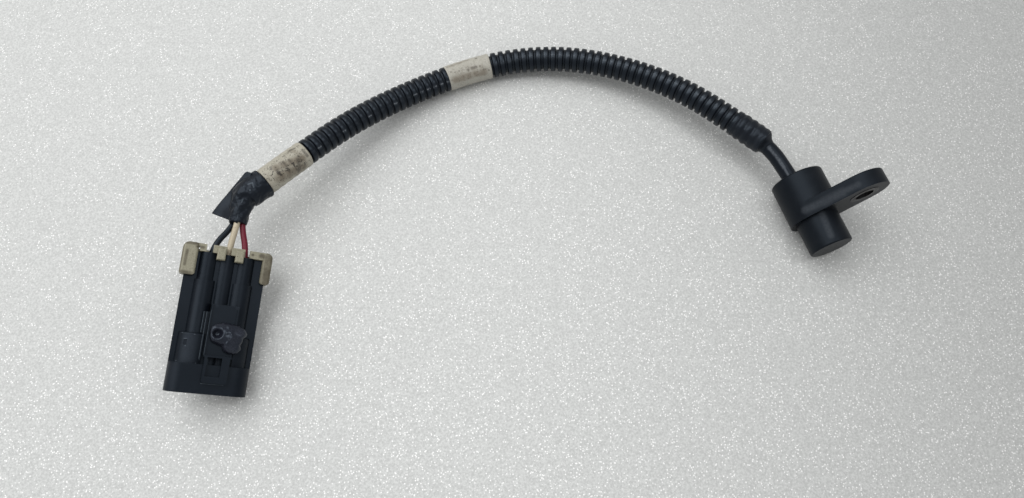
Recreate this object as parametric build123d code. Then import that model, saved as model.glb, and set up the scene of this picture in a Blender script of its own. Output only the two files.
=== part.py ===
"""Three-wire speed pickup sensor with its pigtail lead and plug, lying on a bench.

All lengths are millimetres. The origin is on the probe's axis, in the plane of the flange face that seats
on the machine. The probe points along -Y, the lead leaves along +Y, and the ear leans up from +X. The bench
is the plane z = -BODY_RADIUS, which the body, the lead's middle and the plug's nose touch.
"""
from build123d import *
from math import asin, cos, radians, sin, tan
import os

# Sensor body
BODY_RADIUS = 10.0
BODY_LENGTH = 17.9
BODY_WALL = 1.6
BODY_EDGE = 0.8
PROBE_RADIUS = 8.0
PROBE_LENGTH = 12.5
PROBE_WALL = 1.4
PROBE_EDGE = 0.6
TIP_WALL = 1.0
WELL_FLOOR = 2.0
EAR_THICKNESS = 6.0
EAR_REACH = 19.0
EAR_RADIUS = 9.4
EAR_EDGE = 0.35
EAR_LEAN = 40.0

# Steel bushing in the ear
BUSHING_RADIUS = 5.4
BUSHING_BORE = 3.4
BUSHING_PROUD = 0.15

# Sensing parts inside the probe and body
CHIP = (4.1, 3.0, 1.6)
FLUX_PLATE_THICKNESS = 0.8
MAGNET_RADIUS = 3.5
MAGNET_LENGTH = 4.5
CARRIER_REACH = 3.0
BOARD_WIDTH = 10.0
BOARD_THICKNESS = 1.0
BOARD_CLEARANCE = 0.6
CAPACITOR = (2.0, 0.8, 1.2)
CAPACITOR_PLACE = 6.0
CAPACITOR_SPACING = 5.0
LEAD_SIZE = 0.4
LEAD_PITCH = 1.3
LEAD_CLEARANCE = 0.3
POTTING_RECESS = 0.8

# Lead
BEND_SHARE = 0.45
CABLE_RADIUS = 3.0
CONDUIT_RADIUS = 5.0
TAPE_THICKNESS = 0.25
WRAP_THICKNESS = 0.35
SENSOR_WRAP_LENGTH = 13.0
SENSOR_WRAP_SHOULDER = 1.1
SENSOR_WRAP_NECK = 3.5
SENSOR_WRAP_MOUTH = 3.15
WHITE_TAPE_WIDTH = 19.0
MID_TAPE_START = 120.0
REAR_WRAP_LENGTH = 7.3
WIRE_RADIUS = 1.1
WIRE_BUNDLE = [(1.3, -0.75), (-0.5, 1.5), (-1.3, -0.75)]
WIRE_END_CLEARANCE = 0.5
WIRE_SEAL_CLEARANCE = 0.8
NECK_SHOULDER = 1.8
NECK_SHOULDER_RADIUS = 4.8
NECK_MIDDLE_RADIUS = 3.6
NECK_EXIT_RADIUS = 3.0
FLAG_THICKNESS = 0.7

# Centreline of the conduit, from the sensor's end to the plug's end
CONDUIT_ROUTE = [
    (-6.7, 35.2, 3.5), (-14.9, 49.5, 3.0), (-25.1, 66.1, 1.8), (-37.6, 80.5, 0.2), (-52.4, 92.8, -1.4),
    (-68.8, 102.2, -3.0), (-86.9, 107.7, -4.3), (-104.3, 109.0, -4.75), (-122.0, 107.5, -4.0),
    (-142.0, 103.1, -1.4), (-160.0, 96.8, 2.0), (-178.1, 87.6, 6.0), (-189.9, 81.6, 8.2), (-201.0, 76.1, 9.5),
]
CABLE_ROOT = (-1.0, 9.3, 0.1)
CABLE_MOUTH = (-2.5, 20.5, 0.9)
CABLE_CREST = (-5.2, 32.1, 3.15)
CABLE_END = (-10.4, 42.6, 3.3)
CABLE_ROUTE = [CABLE_ROOT, CABLE_MOUTH, CABLE_CREST, CABLE_END]
NECK_BEND = (-204.7, 72.3, 9.5)
NECK_EXIT = (-207.7, 65.7, 9.0)
FLAG_CORNERS = [
    (-199.1, 83.6, 13.0), (-215.9, 73.5, 8.4), (-207.0, 64.9, 11.6), (-205.8, 69.6, 11.7),
    (-203.0, 73.1, 12.4), (-203.3, 77.8, 12.0), (-196.9, 81.7, 13.8),
]

# Plug, in its own frame: X across, Y from the nose to the wires, Z up through the latch
PLUG_NOSE = (-234.5, 10.95)
PLUG_HEADING = -25.2
PLUG_TILT = 10.0
PLUG_ROLL = 26.0
SHROUD_WIDTH = 27.4
SHROUD_HEIGHT = 12.0
SHROUD_CORNER = 5.0
SHROUD_LENGTH = 10.1
SHROUD_WALL = 1.3
SOCKET_DEPTH = 9.0
WING_TOP = 1.0
WING_BOTTOM = -1.4
BARREL_PITCH = 6.2
BARREL_RADIUS = 3.3
BARREL_BORE = 2.6
BARREL_END = 49.5
VALLEY_TOP = 2.2
COLLAR_RADIUS = 3.9
COLLAR_END = 39.6
BLOCK_END = 20.8
BLOCK_REACH = 6.0
BLOCK_HEIGHT = 4.9
BLOCK_EDGE = 0.8
DIMPLE = (9.4, 17.2)
DIMPLE_SIZE = (1.0, 2.0)
DIMPLE_BOTTOM = 3.7

# Latch on the plug
LATCH_CENTRE = 1.8
LATCH_WIDTH = 9.3
LATCH_END = 31.4
LATCH_ROOT = 3.0
LATCH_FRONT = 13.4
LATCH_BOTTOM = 4.1
LATCH_PLATE = 1.3
RAIL_THICKNESS = 0.5
RAIL_HEIGHT = 0.5
LOOP_FRONT = 3.9
LOOP_WIDTH = 8.4
LOOP_CORNER = 0.8
LOOP_CLEARANCE = 0.4
LOOP_PLATE = 1.2
LOOP_LEFT_BAR = 0.9
LOOP_RIGHT_BAR = 2.6
LOOP_REAR_BAR = 0.6
LOOP_TAB = 2.3
GUARD_RIBS = [(-5.1, 21.0, 28.5), (-4.15, 11.4, 28.5)]
GUARD_RIB_THICKNESS = 0.5
GUARD_RIB_TOP = 4.7
GUARD_FLOOR = (-2.0, 3.7)

# Terminals and seals in the barrels
BLADE = (1.5, 0.64)
BLADE_TIP = 3.5
BLADE_POINT = 0.9
BLADE_CLEARANCE = 0.1
TERMINAL_BODY = (2.2, 2.0)
TERMINAL_FRONT = 17.0
TERMINAL_REAR = 34.0
CAVITY_RADIUS = 1.9
CRIMP_RADIUS = 1.5
CRIMP_END = 42.5
SEAL_START = 42.7
SEAL_LENGTH = 4.0
SEAL_GROOVE = 0.4
SEAL_RIBS = 3

# Comb-shaped lock over the back of the plug
LOCK_WALL = 1.6
LOCK_LEFT_ARM = 5.2
LOCK_RIGHT_ARM = 3.4
LOCK_FRONT = 40.8
LOCK_PLATE = 2.8
LOCK_HALF_HEIGHT = 3.4
LOCK_EDGE = 1.0
LOCK_CORNER = 1.1
LOCK_OUTER_CORNER = 2.2
LOCK_CLEARANCE = 0.1
COMB_TOP = -1.7
COMB_BOTTOM = -4.4
COMB_REACH = 5.6
RAIL_TOP = -2.6
RAIL_PLATE = 1.3
LUG_SHIFT = 0.65
LUG_WIDTH = 2.9
LUG_TOP = 5.0
LUG_HOOK = 2.3
LUG_EDGE = 0.5
POST_WIDTH = 1.8
FLANGE_WIDTH = 4.6
FLANGE_SHIFT = -0.65
FLANGE_BOTTOM = 2.2
FLANGE_TOP = 4.1
FLANGE_LEDGE = 0.8
LEFT_HOOK = (7.6, 9.8)
RIGHT_HOOK = (7.2, 12.5)
HOOK_BAR = 1.4
HOOK_BOTTOM = 1.2

# Crumpled head of a push-in retainer, on the latch
BUTTON_PLACE = (3.8, 19.9)
BUTTON_SHIFT = 0.7
BUTTON_STEM = 1.6
BUTTON_LIFT = 1.0
BUTTON_RADIUS = 6.0
BUTTON_DOME = 2.6
BUTTON_SKIN = 0.9
BUTTON_TEAR = (4.0, 2.2)
BUTTON_TEAR_TURN = 210.0

WIRE_NAMES = ["black", "white", "red"]
SENSOR = Plane((0, 0, 0), x_dir=(cos(radians(EAR_LEAN)), 0, sin(radians(EAR_LEAN))), z_dir=(0, 1, 0))
PLUG_TURN = Rot(0, 0, PLUG_HEADING) * Rot(PLUG_TILT, 0, 0) * Rot(0, PLUG_ROLL, 0)
ON_FLOOR = (Align.CENTER, Align.CENTER, Align.MIN)


def bend_radii(points):
    """Radius at each inner point, as large as its two runs allow."""
    points = [Vector(*point) for point in points]
    radii = []
    for before, corner, after in zip(points, points[1:], points[2:]):
        arriving, leaving = corner - before, after - corner
        half_turn = radians(arriving.get_angle(leaving)) / 2
        radii.append(BEND_SHARE * min(arriving.length, leaving.length) / tan(half_turn))
    return radii


def cord_path(name, points):
    """Straight runs joined by tangent arcs, with the arcs' radii printed."""
    radii = bend_radii(points)
    print(name, "bend radii", [round(radius, 1) for radius in radii])
    return FilletPolyline(*points, radius=radii)


def round_section(path, radius):
    """Disc across the start of a path."""
    return Plane(path @ 0, z_dir=path % 0) * Circle(radius)


def tube(path, radius):
    """Plain round cord along a path."""
    return sweep(round_section(path, radius), path=path)


def sleeve(path, start, end, inner, thickness):
    """Tape wrapped round a cord from one distance along its path to another."""
    stretch = path.trim(start / path.length, end / path.length)
    return tube(stretch, inner + thickness) - tube(stretch, inner)


def box_between(low, high):
    """Box from its low corner to its high corner."""
    size = [b - a for a, b in zip(low, high)]
    return Pos(*low) * Box(*size, align=(Align.MIN, Align.MIN, Align.MIN))


def bar(section, start, end):
    """Section drawn in X and Z, run along Y from start to end."""
    return extrude(Plane.XZ.offset(-start) * section, amount=end - start, dir=(0, 1, 0))


# Sensor pieces, built along the local Z axis and turned by SENSOR


def ear_outline():
    """Round end of the ear joined to the body's circle by tangent lines."""
    lean = asin((BODY_RADIUS - EAR_RADIUS) / EAR_REACH)
    at_body = (BODY_RADIUS * sin(lean), BODY_RADIUS * cos(lean))
    at_end = (EAR_REACH + EAR_RADIUS * sin(lean), EAR_RADIUS * cos(lean))
    web = Polygon(at_body, (at_body[0], -at_body[1]), (at_end[0], -at_end[1]), at_end, align=None)
    return Circle(BODY_RADIUS) + web + Pos(EAR_REACH, 0) * Circle(EAR_RADIUS)


def carrier_envelope(top):
    """Round space inside the probe, from its tip wall up to a level in the body."""
    tip = TIP_WALL - PROBE_LENGTH
    return Pos(0, 0, tip) * Cylinder(PROBE_RADIUS - PROBE_WALL, top - tip, align=ON_FLOOR)


def body_inside():
    """Well behind the flange face and bore down the probe."""
    well = Pos(0, 0, WELL_FLOOR) * Cylinder(BODY_RADIUS - BODY_WALL, BODY_LENGTH, align=ON_FLOOR)
    return well + carrier_envelope(WELL_FLOOR)


def bushing_hole():
    """Round hole through the ear that the bushing fills."""
    return Pos(EAR_REACH, 0, EAR_THICKNESS / 2) * Cylinder(BUSHING_RADIUS, 2 * EAR_THICKNESS)


def sensor_housing():
    """Body, probe and ear as one moulding, hollow from the back."""
    body = Cylinder(BODY_RADIUS, BODY_LENGTH, align=ON_FLOOR)
    body = fillet(body.edges().group_by(Axis.Z)[-1], BODY_EDGE)
    probe = Pos(0, 0, -PROBE_LENGTH) * Cylinder(PROBE_RADIUS, PROBE_LENGTH, align=ON_FLOOR)
    probe = fillet(probe.edges().group_by(Axis.Z)[0], PROBE_EDGE)
    ear = extrude(ear_outline(), EAR_THICKNESS)
    ear = fillet(ear.edges().group_by(Axis.Z)[-1], EAR_EDGE)
    return body + probe + ear - body_inside() - bushing_hole()


def mounting_bushing():
    """Compression bushing that stands a little proud of both faces of the ear."""
    length = EAR_THICKNESS + 2 * BUSHING_PROUD
    ring = Circle(BUSHING_RADIUS) - Circle(BUSHING_BORE)
    return Pos(EAR_REACH, 0, -BUSHING_PROUD) * extrude(ring, length)


def sensing_stack():
    """Chip, flux plate, magnet, board, capacitors and chip legs, stacked from the probe's tip."""
    tip = TIP_WALL - PROBE_LENGTH
    plate_start = tip + CHIP[2]
    magnet_start = plate_start + FLUX_PLATE_THICKNESS
    board_start = magnet_start + MAGNET_LENGTH
    board_length = CABLE_ROOT[1] - BOARD_CLEARANCE - board_start
    board_face = BOARD_THICKNESS / 2
    board = Box(BOARD_WIDTH, BOARD_THICKNESS, board_length, align=ON_FLOOR)
    capacitor = Box(*CAPACITOR, align=(Align.CENTER, Align.MIN, Align.CENTER))
    spots = [Pos(side * CAPACITOR_SPACING / 2, board_face, CAPACITOR_PLACE) for side in (-1, 1)]
    return {
        "hall_chip": Pos(0, 0, tip) * Box(*CHIP, align=ON_FLOOR),
        "flux_plate": Pos(0, 0, plate_start) * Cylinder(MAGNET_RADIUS, FLUX_PLATE_THICKNESS, align=ON_FLOOR),
        "bias_magnet": Pos(0, 0, magnet_start) * Cylinder(MAGNET_RADIUS, MAGNET_LENGTH, align=ON_FLOOR),
        "circuit_board": Pos(0, 0, board_start) * board,
        "board_capacitors": Part() + [spot * capacitor for spot in spots],
        "chip_leads": Part() + [chip_lead(side * LEAD_PITCH, tip, board_start) for side in (-1, 0, 1)],
    }


def chip_lead(across, tip, board_start):
    """One leg, out from the chip, past the magnet and in to the board's face."""
    low, high = across - LEAD_SIZE / 2, across + LEAD_SIZE / 2
    inner = MAGNET_RADIUS + LEAD_CLEARANCE
    outer = inner + LEAD_SIZE
    start = tip + CHIP[2] / 2
    end = board_start + 2 * LEAD_SIZE
    out = box_between((low, CHIP[1] / 2, start), (high, outer, start + LEAD_SIZE))
    along = box_between((low, inner, start), (high, outer, end))
    back = box_between((low, BOARD_THICKNESS / 2, end - LEAD_SIZE), (high, outer, end))
    return out + along + back


def chip_carrier(stack):
    """Plastic carrier that fills the probe's bore round the sensing parts."""
    carrier = carrier_envelope(CARRIER_REACH)
    for piece in stack.values():
        carrier = carrier - piece
    return carrier


def potting_fill(stack, cable):
    """Resin that fills the well round the board, the carrier's end and the cable."""
    depth = BODY_LENGTH - WELL_FLOOR - POTTING_RECESS
    resin = Pos(0, 0, WELL_FLOOR) * Cylinder(BODY_RADIUS - BODY_WALL, depth, align=ON_FLOOR)
    resin = resin - carrier_envelope(CARRIER_REACH)
    for piece in (stack["circuit_board"], stack["board_capacitors"], cable):
        resin = resin - piece
    return resin


def sensor_parts(cable):
    """Every piece of the sensor, turned into the part's frame."""
    stack = sensing_stack()
    local_cable = SENSOR.location.inverse() * cable
    pieces = {"sensor_housing": sensor_housing(), "mounting_bushing": mounting_bushing(),
              "chip_carrier": chip_carrier(stack), "potting_fill": potting_fill(stack, local_cable)}
    pieces.update(stack)
    return {name: SENSOR.location * piece for name, piece in pieces.items()}


# Plug pieces, built in the plug's own frame and turned by plug_place


def barrel_centres():
    return [-BARREL_PITCH, 0.0, BARREL_PITCH]


def barrel_cavities():
    """Seal bore, terminal cavity and blade slot of each barrel."""
    slot = Rectangle(BLADE[0] + 2 * BLADE_CLEARANCE, BLADE[1] + 2 * BLADE_CLEARANCE)
    steps = [(Circle(BARREL_BORE), TERMINAL_REAR, BARREL_END),
             (Circle(CAVITY_RADIUS), TERMINAL_FRONT, TERMINAL_REAR),
             (slot, SOCKET_DEPTH, TERMINAL_FRONT)]
    return [bar(Pos(x, 0) * section, start, end)
            for x in barrel_centres() for section, start, end in steps]


def shroud():
    """Open mating shroud at the nose."""
    outline = RectangleRounded(SHROUD_WIDTH, SHROUD_HEIGHT, SHROUD_CORNER)
    mouth = offset(outline, -SHROUD_WALL)
    return bar(outline, 0, SHROUD_LENGTH) - bar(mouth, 0, SOCKET_DEPTH)


def end_block(side):
    """Thicker, flattened stretch of an outer barrel, between the shroud and its collar."""
    block = bar(Pos(side * BARREL_PITCH, 0) * Ellipse(BLOCK_REACH, BLOCK_HEIGHT), SHROUD_LENGTH, BLOCK_END)
    return fillet(block.edges().group_by(Axis.Y)[-1], BLOCK_EDGE)


def latch_room():
    """Space round the latch plate that the blocks are cut back to."""
    reach = LATCH_WIDTH / 2 + LOOP_CLEARANCE
    low, high = LATCH_CENTRE - reach, LATCH_CENTRE + reach
    return box_between((low, SHROUD_LENGTH, LATCH_BOTTOM - LOOP_CLEARANCE), (high, BLOCK_END, SHROUD_HEIGHT))


def latch():
    """Sprung latch: a plate rooted on the barrels, a riser and a loop over the shroud."""
    low, high = LATCH_CENTRE - LATCH_WIDTH / 2, LATCH_CENTRE + LATCH_WIDTH / 2
    loop_low, loop_high = LATCH_CENTRE - LOOP_WIDTH / 2, LATCH_CENTRE + LOOP_WIDTH / 2
    top = LATCH_BOTTOM + LATCH_PLATE
    loop_bottom = SHROUD_HEIGHT / 2 + LOOP_CLEARANCE
    loop_top = loop_bottom + LOOP_PLATE
    loop_end = LATCH_FRONT - LOOP_REAR_BAR
    window_start = LOOP_FRONT + LOOP_TAB
    plate = box_between((low, LATCH_FRONT, LATCH_BOTTOM), (high, LATCH_END, top))
    root = box_between((low, LATCH_END - LATCH_ROOT, BARREL_RADIUS / 2), (high, LATCH_END, LATCH_BOTTOM))
    riser = box_between((low, loop_end, LATCH_BOTTOM), (high, LATCH_FRONT, loop_top))
    loop = box_between((loop_low, LOOP_FRONT, loop_bottom), (loop_high, loop_end, loop_top))
    loop = fillet(loop.edges().filter_by(Axis.Z).group_by(Axis.Y)[0], LOOP_CORNER)
    window = box_between((loop_low + LOOP_LEFT_BAR, window_start, loop_bottom),
                         (loop_high - LOOP_RIGHT_BAR, loop_end, loop_top))
    rails = [box_between((x, LATCH_FRONT, top), (x + RAIL_THICKNESS, LATCH_END, top + RAIL_HEIGHT))
             for x in (low, high - RAIL_THICKNESS)]
    return plate + root + riser + (loop - window) + rails


def guard_ribs():
    """Two ribs beside the latch, on a lower floor that runs in under the latch."""
    (side, _, _), (_, start, end) = GUARD_RIBS
    ribs = box_between((side, start, 0), (GUARD_FLOOR[0], end, GUARD_FLOOR[1]))
    for x, start, end in GUARD_RIBS:
        ribs = ribs + box_between((x, start, 0), (x + GUARD_RIB_THICKNESS, end, GUARD_RIB_TOP))
    return ribs


def connector_housing():
    """Shroud, barrels, collars, wings, blocks, guard ribs and latch as one moulding."""
    half_width = SHROUD_WIDTH / 2
    wings = box_between((-half_width, SHROUD_LENGTH, WING_BOTTOM), (half_width, BARREL_END, WING_TOP))
    webs = box_between((-BARREL_PITCH, SHROUD_LENGTH, -VALLEY_TOP), (BARREL_PITCH, BARREL_END, VALLEY_TOP))
    housing = shroud() + wings + webs
    for x in barrel_centres():
        housing = housing + bar(Pos(x, 0) * Circle(BARREL_RADIUS), SHROUD_LENGTH, BARREL_END)
    for side in (-1, 1):
        collar = Pos(side * BARREL_PITCH, 0) * Circle(COLLAR_RADIUS)
        housing = housing + bar(collar, SHROUD_LENGTH, COLLAR_END) + (end_block(side) - latch_room())
    width, length = DIMPLE_SIZE
    dimple = Pos(-DIMPLE[0], DIMPLE[1], DIMPLE_BOTTOM) * Box(width, length, BLOCK_HEIGHT, align=ON_FLOOR)
    housing = housing - dimple + guard_ribs() + latch()
    for cavity in barrel_cavities():
        housing = housing - cavity
    return housing


def terminal():
    """Crimped blade terminal on the Y axis."""
    blade = bar(Rectangle(*BLADE), BLADE_TIP, TERMINAL_FRONT)
    blade = chamfer(blade.edges().filter_by(Axis.Z).group_by(Axis.Y)[0], BLADE_POINT / 2)
    middle = bar(RectangleRounded(*TERMINAL_BODY, BLADE[1] / 2), TERMINAL_FRONT, TERMINAL_REAR)
    crimp = bar(Circle(CRIMP_RADIUS), TERMINAL_REAR, CRIMP_END)
    return blade + middle + crimp


def cable_seal():
    """Ribbed rubber seal between wire and barrel, on the Y axis."""
    core = BARREL_BORE - SEAL_GROOVE
    seal = bar(Circle(core), SEAL_START, SEAL_START + SEAL_LENGTH)
    step = SEAL_LENGTH / (2 * SEAL_RIBS - 1)
    for index in range(SEAL_RIBS):
        start = SEAL_START + 2 * index * step
        seal = seal + bar(Circle(BARREL_BORE), start, start + step)
    return seal - bar(Circle(WIRE_RADIUS), SEAL_START, SEAL_START + SEAL_LENGTH)


def lock_arm(side, width, hook):
    """Clip round the edge of one wing, with a bar behind the wing that ends in a thicker tab."""
    back = BARREL_END + LOCK_PLATE
    top = LOCK_HALF_HEIGHT
    wing_edge, wing_end = SHROUD_WIDTH / 2 + LOCK_CLEARANCE, BARREL_END + LOCK_CLEARANCE
    wing_bottom, wing_top = WING_BOTTOM - LOCK_CLEARANCE, WING_TOP + LOCK_CLEARANCE
    outer = (wing_edge + LOCK_WALL, back, 0)
    middle = wing_edge + LOCK_WALL - width / 2
    plan = Pos(middle, (LOCK_FRONT + back) / 2) * Rectangle(width, back - LOCK_FRONT)
    plan = fillet(plan.vertices().sort_by_distance(outer)[1:], LOCK_CORNER)
    plan = fillet(plan.vertices().sort_by_distance(outer)[0], LOCK_OUTER_CORNER)
    clip = bar(Pos(middle, 0) * RectangleRounded(width, 2 * top, LOCK_EDGE), LOCK_FRONT, back)
    clip = clip & extrude(plan, top, both=True)
    groove = box_between((0, LOCK_FRONT, wing_bottom), (wing_edge, wing_end, wing_top))
    hook_end, tab_end = hook
    behind = box_between((hook_end, back - HOOK_BAR, HOOK_BOTTOM), (middle, back, top - LOCK_EDGE / 2))
    tab = box_between((hook_end, wing_end, HOOK_BOTTOM), (tab_end, back, top - LOCK_EDGE / 2))
    arm = clip - groove + behind + tab
    return arm if side > 0 else mirror(arm, about=Plane.YZ)


def lug(side):
    """Post, flange and prong that hold one valley between the barrels."""
    back = BARREL_END + LOCK_PLATE
    centre = side * BARREL_PITCH / 2 + LUG_SHIFT
    post_left, prong_left = centre - POST_WIDTH / 2, centre - LUG_WIDTH / 2
    flange_left = centre + FLANGE_SHIFT - FLANGE_WIDTH / 2
    post = box_between((post_left, BARREL_END, COMB_TOP), (post_left + POST_WIDTH, back, FLANGE_TOP))
    flange = box_between((flange_left, BARREL_END, FLANGE_BOTTOM),
                         (flange_left + FLANGE_WIDTH, back, FLANGE_TOP))
    prong = box_between((prong_left, BARREL_END - LUG_HOOK, VALLEY_TOP + LOCK_CLEARANCE),
                        (prong_left + LUG_WIDTH, back - FLANGE_LEDGE, LUG_TOP))
    prong = fillet(prong.edges().group_by(Axis.Z)[-1], LUG_EDGE)
    return post + flange + prong


def terminal_lock():
    """Comb across the back of the housing: cross bar, two lugs over the valleys and two side arms."""
    back = BARREL_END + LOCK_PLATE
    rail_end = SHROUD_WIDTH / 2
    comb = box_between((-COMB_REACH, BARREL_END, COMB_BOTTOM), (COMB_REACH, back, COMB_TOP))
    rail = box_between((-rail_end, BARREL_END, COMB_BOTTOM), (rail_end, BARREL_END + RAIL_PLATE, RAIL_TOP))
    lock = comb + rail + lug(-1) + lug(1)
    lock = lock + lock_arm(-1, LOCK_LEFT_ARM, LEFT_HOOK) + lock_arm(1, LOCK_RIGHT_ARM, RIGHT_HOOK)
    for x in barrel_centres():
        lock = lock - bar(Pos(x, 0) * Circle(BARREL_RADIUS), 0, BARREL_END)
    return lock


def retainer_button():
    """Torn domed head on a short stem, standing on the latch plate."""
    foot = LATCH_BOTTOM + LATCH_PLATE
    rim = foot + BUTTON_LIFT
    ball = (BUTTON_RADIUS ** 2 + BUTTON_DOME ** 2) / (2 * BUTTON_DOME)
    dome = Pos(0, 0, rim + BUTTON_DOME - ball) * Sphere(ball)
    head = dome & Pos(0, 0, rim) * Cylinder(BUTTON_RADIUS, 2 * BUTTON_DOME, align=ON_FLOOR)
    hollow = Pos(0, 0, -BUTTON_SKIN) * head
    stem_length = BUTTON_LIFT + BUTTON_DOME - BUTTON_SKIN / 2
    stem = Pos(0, 0, foot) * Cylinder(BUTTON_STEM, stem_length, align=ON_FLOOR)
    length, width = BUTTON_TEAR
    tear = Pos(BUTTON_RADIUS, 0, rim) * Box(length, width, 4 * BUTTON_DOME)
    head = head - hollow - Rot(0, 0, BUTTON_TEAR_TURN) * tear
    return Pos(*BUTTON_PLACE, 0) * (Pos(BUTTON_SHIFT, 0) * head + stem)


def plug_place(housing):
    """Place of the plug's frame, lowered until the housing's lowest corner meets the bench."""
    lowest = (PLUG_TURN * housing).bounding_box().min.Z
    return Pos(*PLUG_NOSE, -BODY_RADIUS - lowest) * PLUG_TURN


def plug_parts(housing, place):
    """Every piece of the plug, in the part's frame."""
    pieces = {"connector_housing": housing, "terminal_lock": terminal_lock(),
              "retainer_button": retainer_button()}
    for name, x in zip(WIRE_NAMES, barrel_centres()):
        pieces[f"terminal_{name}"] = Pos(x, 0, 0) * terminal()
        pieces[f"seal_{name}"] = Pos(x, 0, 0) * cable_seal()
    return {name: place * piece for name, piece in pieces.items()}


# Lead


def bundle_offset(index, along):
    """Place of one wire in the three-wire bundle, across its direction of travel."""
    sideways = along.cross(Vector(0, 0, 1)).normalized()
    upward = sideways.cross(along).normalized()
    across, up = WIRE_BUNDLE[index]
    return sideways * across + upward * up


def wire_route(index, place):
    """Wire from its crimp, out of the barrel, through the taped neck to the conduit's end."""
    x = barrel_centres()[index]
    straight = SEAL_START + SEAL_LENGTH + WIRE_SEAL_CLEARANCE - CRIMP_END
    crimp = (place * Pos(x, CRIMP_END, 0)).position
    corner = (place * Pos(x, CRIMP_END + straight / (1 - BEND_SHARE), 0)).position
    before, end, bend, mouth = [Vector(*point) for point in (*CONDUIT_ROUTE[-2:], NECK_BEND, NECK_EXIT)]
    short_of_end = end + (end - before).normalized() * WIRE_END_CLEARANCE
    return [tuple(point) for point in (crimp, corner, mouth + bundle_offset(index, mouth - bend),
                                       bend + bundle_offset(index, mouth - end),
                                       short_of_end + bundle_offset(index, end - before))]


def sensor_end_tape(conduit_path, cable):
    """Tape over the conduit's sensor end, drawn in round the cable."""
    wrap = sleeve(conduit_path, 0, SENSOR_WRAP_LENGTH, CONDUIT_RADIUS, TAPE_THICKNESS)
    start, crest, outward = conduit_path @ 0, Vector(*CABLE_CREST), -(conduit_path % 0)
    share = SENSOR_WRAP_SHOULDER / (crest - start).length
    shoulder = start + (crest - start) * share
    nose = loft([Plane(start, z_dir=outward) * Circle(CONDUIT_RADIUS + TAPE_THICKNESS),
                 Plane(shoulder, z_dir=outward) * Circle(SENSOR_WRAP_NECK),
                 Plane(crest, z_dir=outward) * Circle(SENSOR_WRAP_MOUTH)], ruled=True)
    return wrap + (nose - cable)


def connector_end_tape(conduit_path, conduit, wires):
    """Wrap over the conduit's plug end, the neck round the wires and the loose flag."""
    length = conduit_path.length
    outer = CONDUIT_RADIUS + WRAP_THICKNESS
    wrap = sleeve(conduit_path, length - REAR_WRAP_LENGTH, length, CONDUIT_RADIUS, WRAP_THICKNESS)
    end, bend, mouth = Vector(*CONDUIT_ROUTE[-1]), Vector(*NECK_BEND), Vector(*NECK_EXIT)
    onward = conduit_path % 1
    sections = [Plane(end, z_dir=onward) * Circle(outer),
                Plane(end + onward * NECK_SHOULDER, z_dir=onward) * Circle(NECK_SHOULDER_RADIUS),
                Plane(bend, z_dir=(mouth - end).normalized()) * Circle(NECK_MIDDLE_RADIUS),
                Plane(mouth, z_dir=(mouth - bend).normalized()) * Circle(NECK_EXIT_RADIUS)]
    neck = loft(sections, ruled=True)
    tape = wrap + neck + loose_flag()
    for inside in (conduit, *wires):
        tape = tape - inside
    return tape


def loose_flag():
    """Two turns of tape stuck together, standing out from the neck, flat through their outer corners."""
    top, left, low = [Vector(*corner) for corner in FLAG_CORNERS[:3]]
    sheet = Plane(top, x_dir=left - top, z_dir=(left - top).cross(low - top))
    local = [sheet.to_local_coords(Vector(*corner)) for corner in FLAG_CORNERS]
    outline = [sheet.from_local_coords(Vector(point.X, point.Y, 0)) for point in local]
    face = make_face(Polyline(*outline, close=True))
    return extrude(face, FLAG_THICKNESS / 2, both=True)


def lead_parts(cable, place):
    """Cable, conduit, wires and tapes, in the part's frame."""
    conduit_path = cord_path("corrugated_conduit", CONDUIT_ROUTE)
    conduit = tube(conduit_path, CONDUIT_RADIUS) - cable
    wires = {f"wire_{name}": tube(cord_path(f"wire_{name}", wire_route(index, place)), WIRE_RADIUS)
             for index, name in enumerate(WIRE_NAMES)}
    rear_start = conduit_path.length - REAR_WRAP_LENGTH - WHITE_TAPE_WIDTH
    parts = {"sensor_cable": cable, "corrugated_conduit": conduit}
    parts.update(wires)
    parts["sensor_end_tape"] = sensor_end_tape(conduit_path, cable)
    for name, start in (("white_tape_mid", MID_TAPE_START), ("white_tape_rear", rear_start)):
        parts[name] = sleeve(conduit_path, start, start + WHITE_TAPE_WIDTH, CONDUIT_RADIUS, TAPE_THICKNESS)
    parts["connector_end_tape"] = connector_end_tape(conduit_path, conduit, wires.values())
    return parts


def main():
    os.makedirs("parts", exist_ok=True)
    cable = tube(cord_path("sensor_cable", CABLE_ROUTE), CABLE_RADIUS)
    housing = connector_housing()
    place = plug_place(housing)
    parts = sensor_parts(cable)
    parts.update(lead_parts(cable, place))
    parts.update(plug_parts(housing, place))
    for name, piece in parts.items():
        export_step(piece, f"parts/{name}.step")
    print(len(parts), "nodes, plug frame at", place.position)


main()
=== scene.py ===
"""Looks of the speed pickup sensor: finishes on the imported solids, and modelled lead, tapes and retainer."""
import logging
import math
from dataclasses import dataclass, field
from enum import Enum
from typing import Callable, Iterable, Iterator, Sequence, Union

import bpy
from mathutils import Euler, Matrix, Vector, noise


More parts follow.
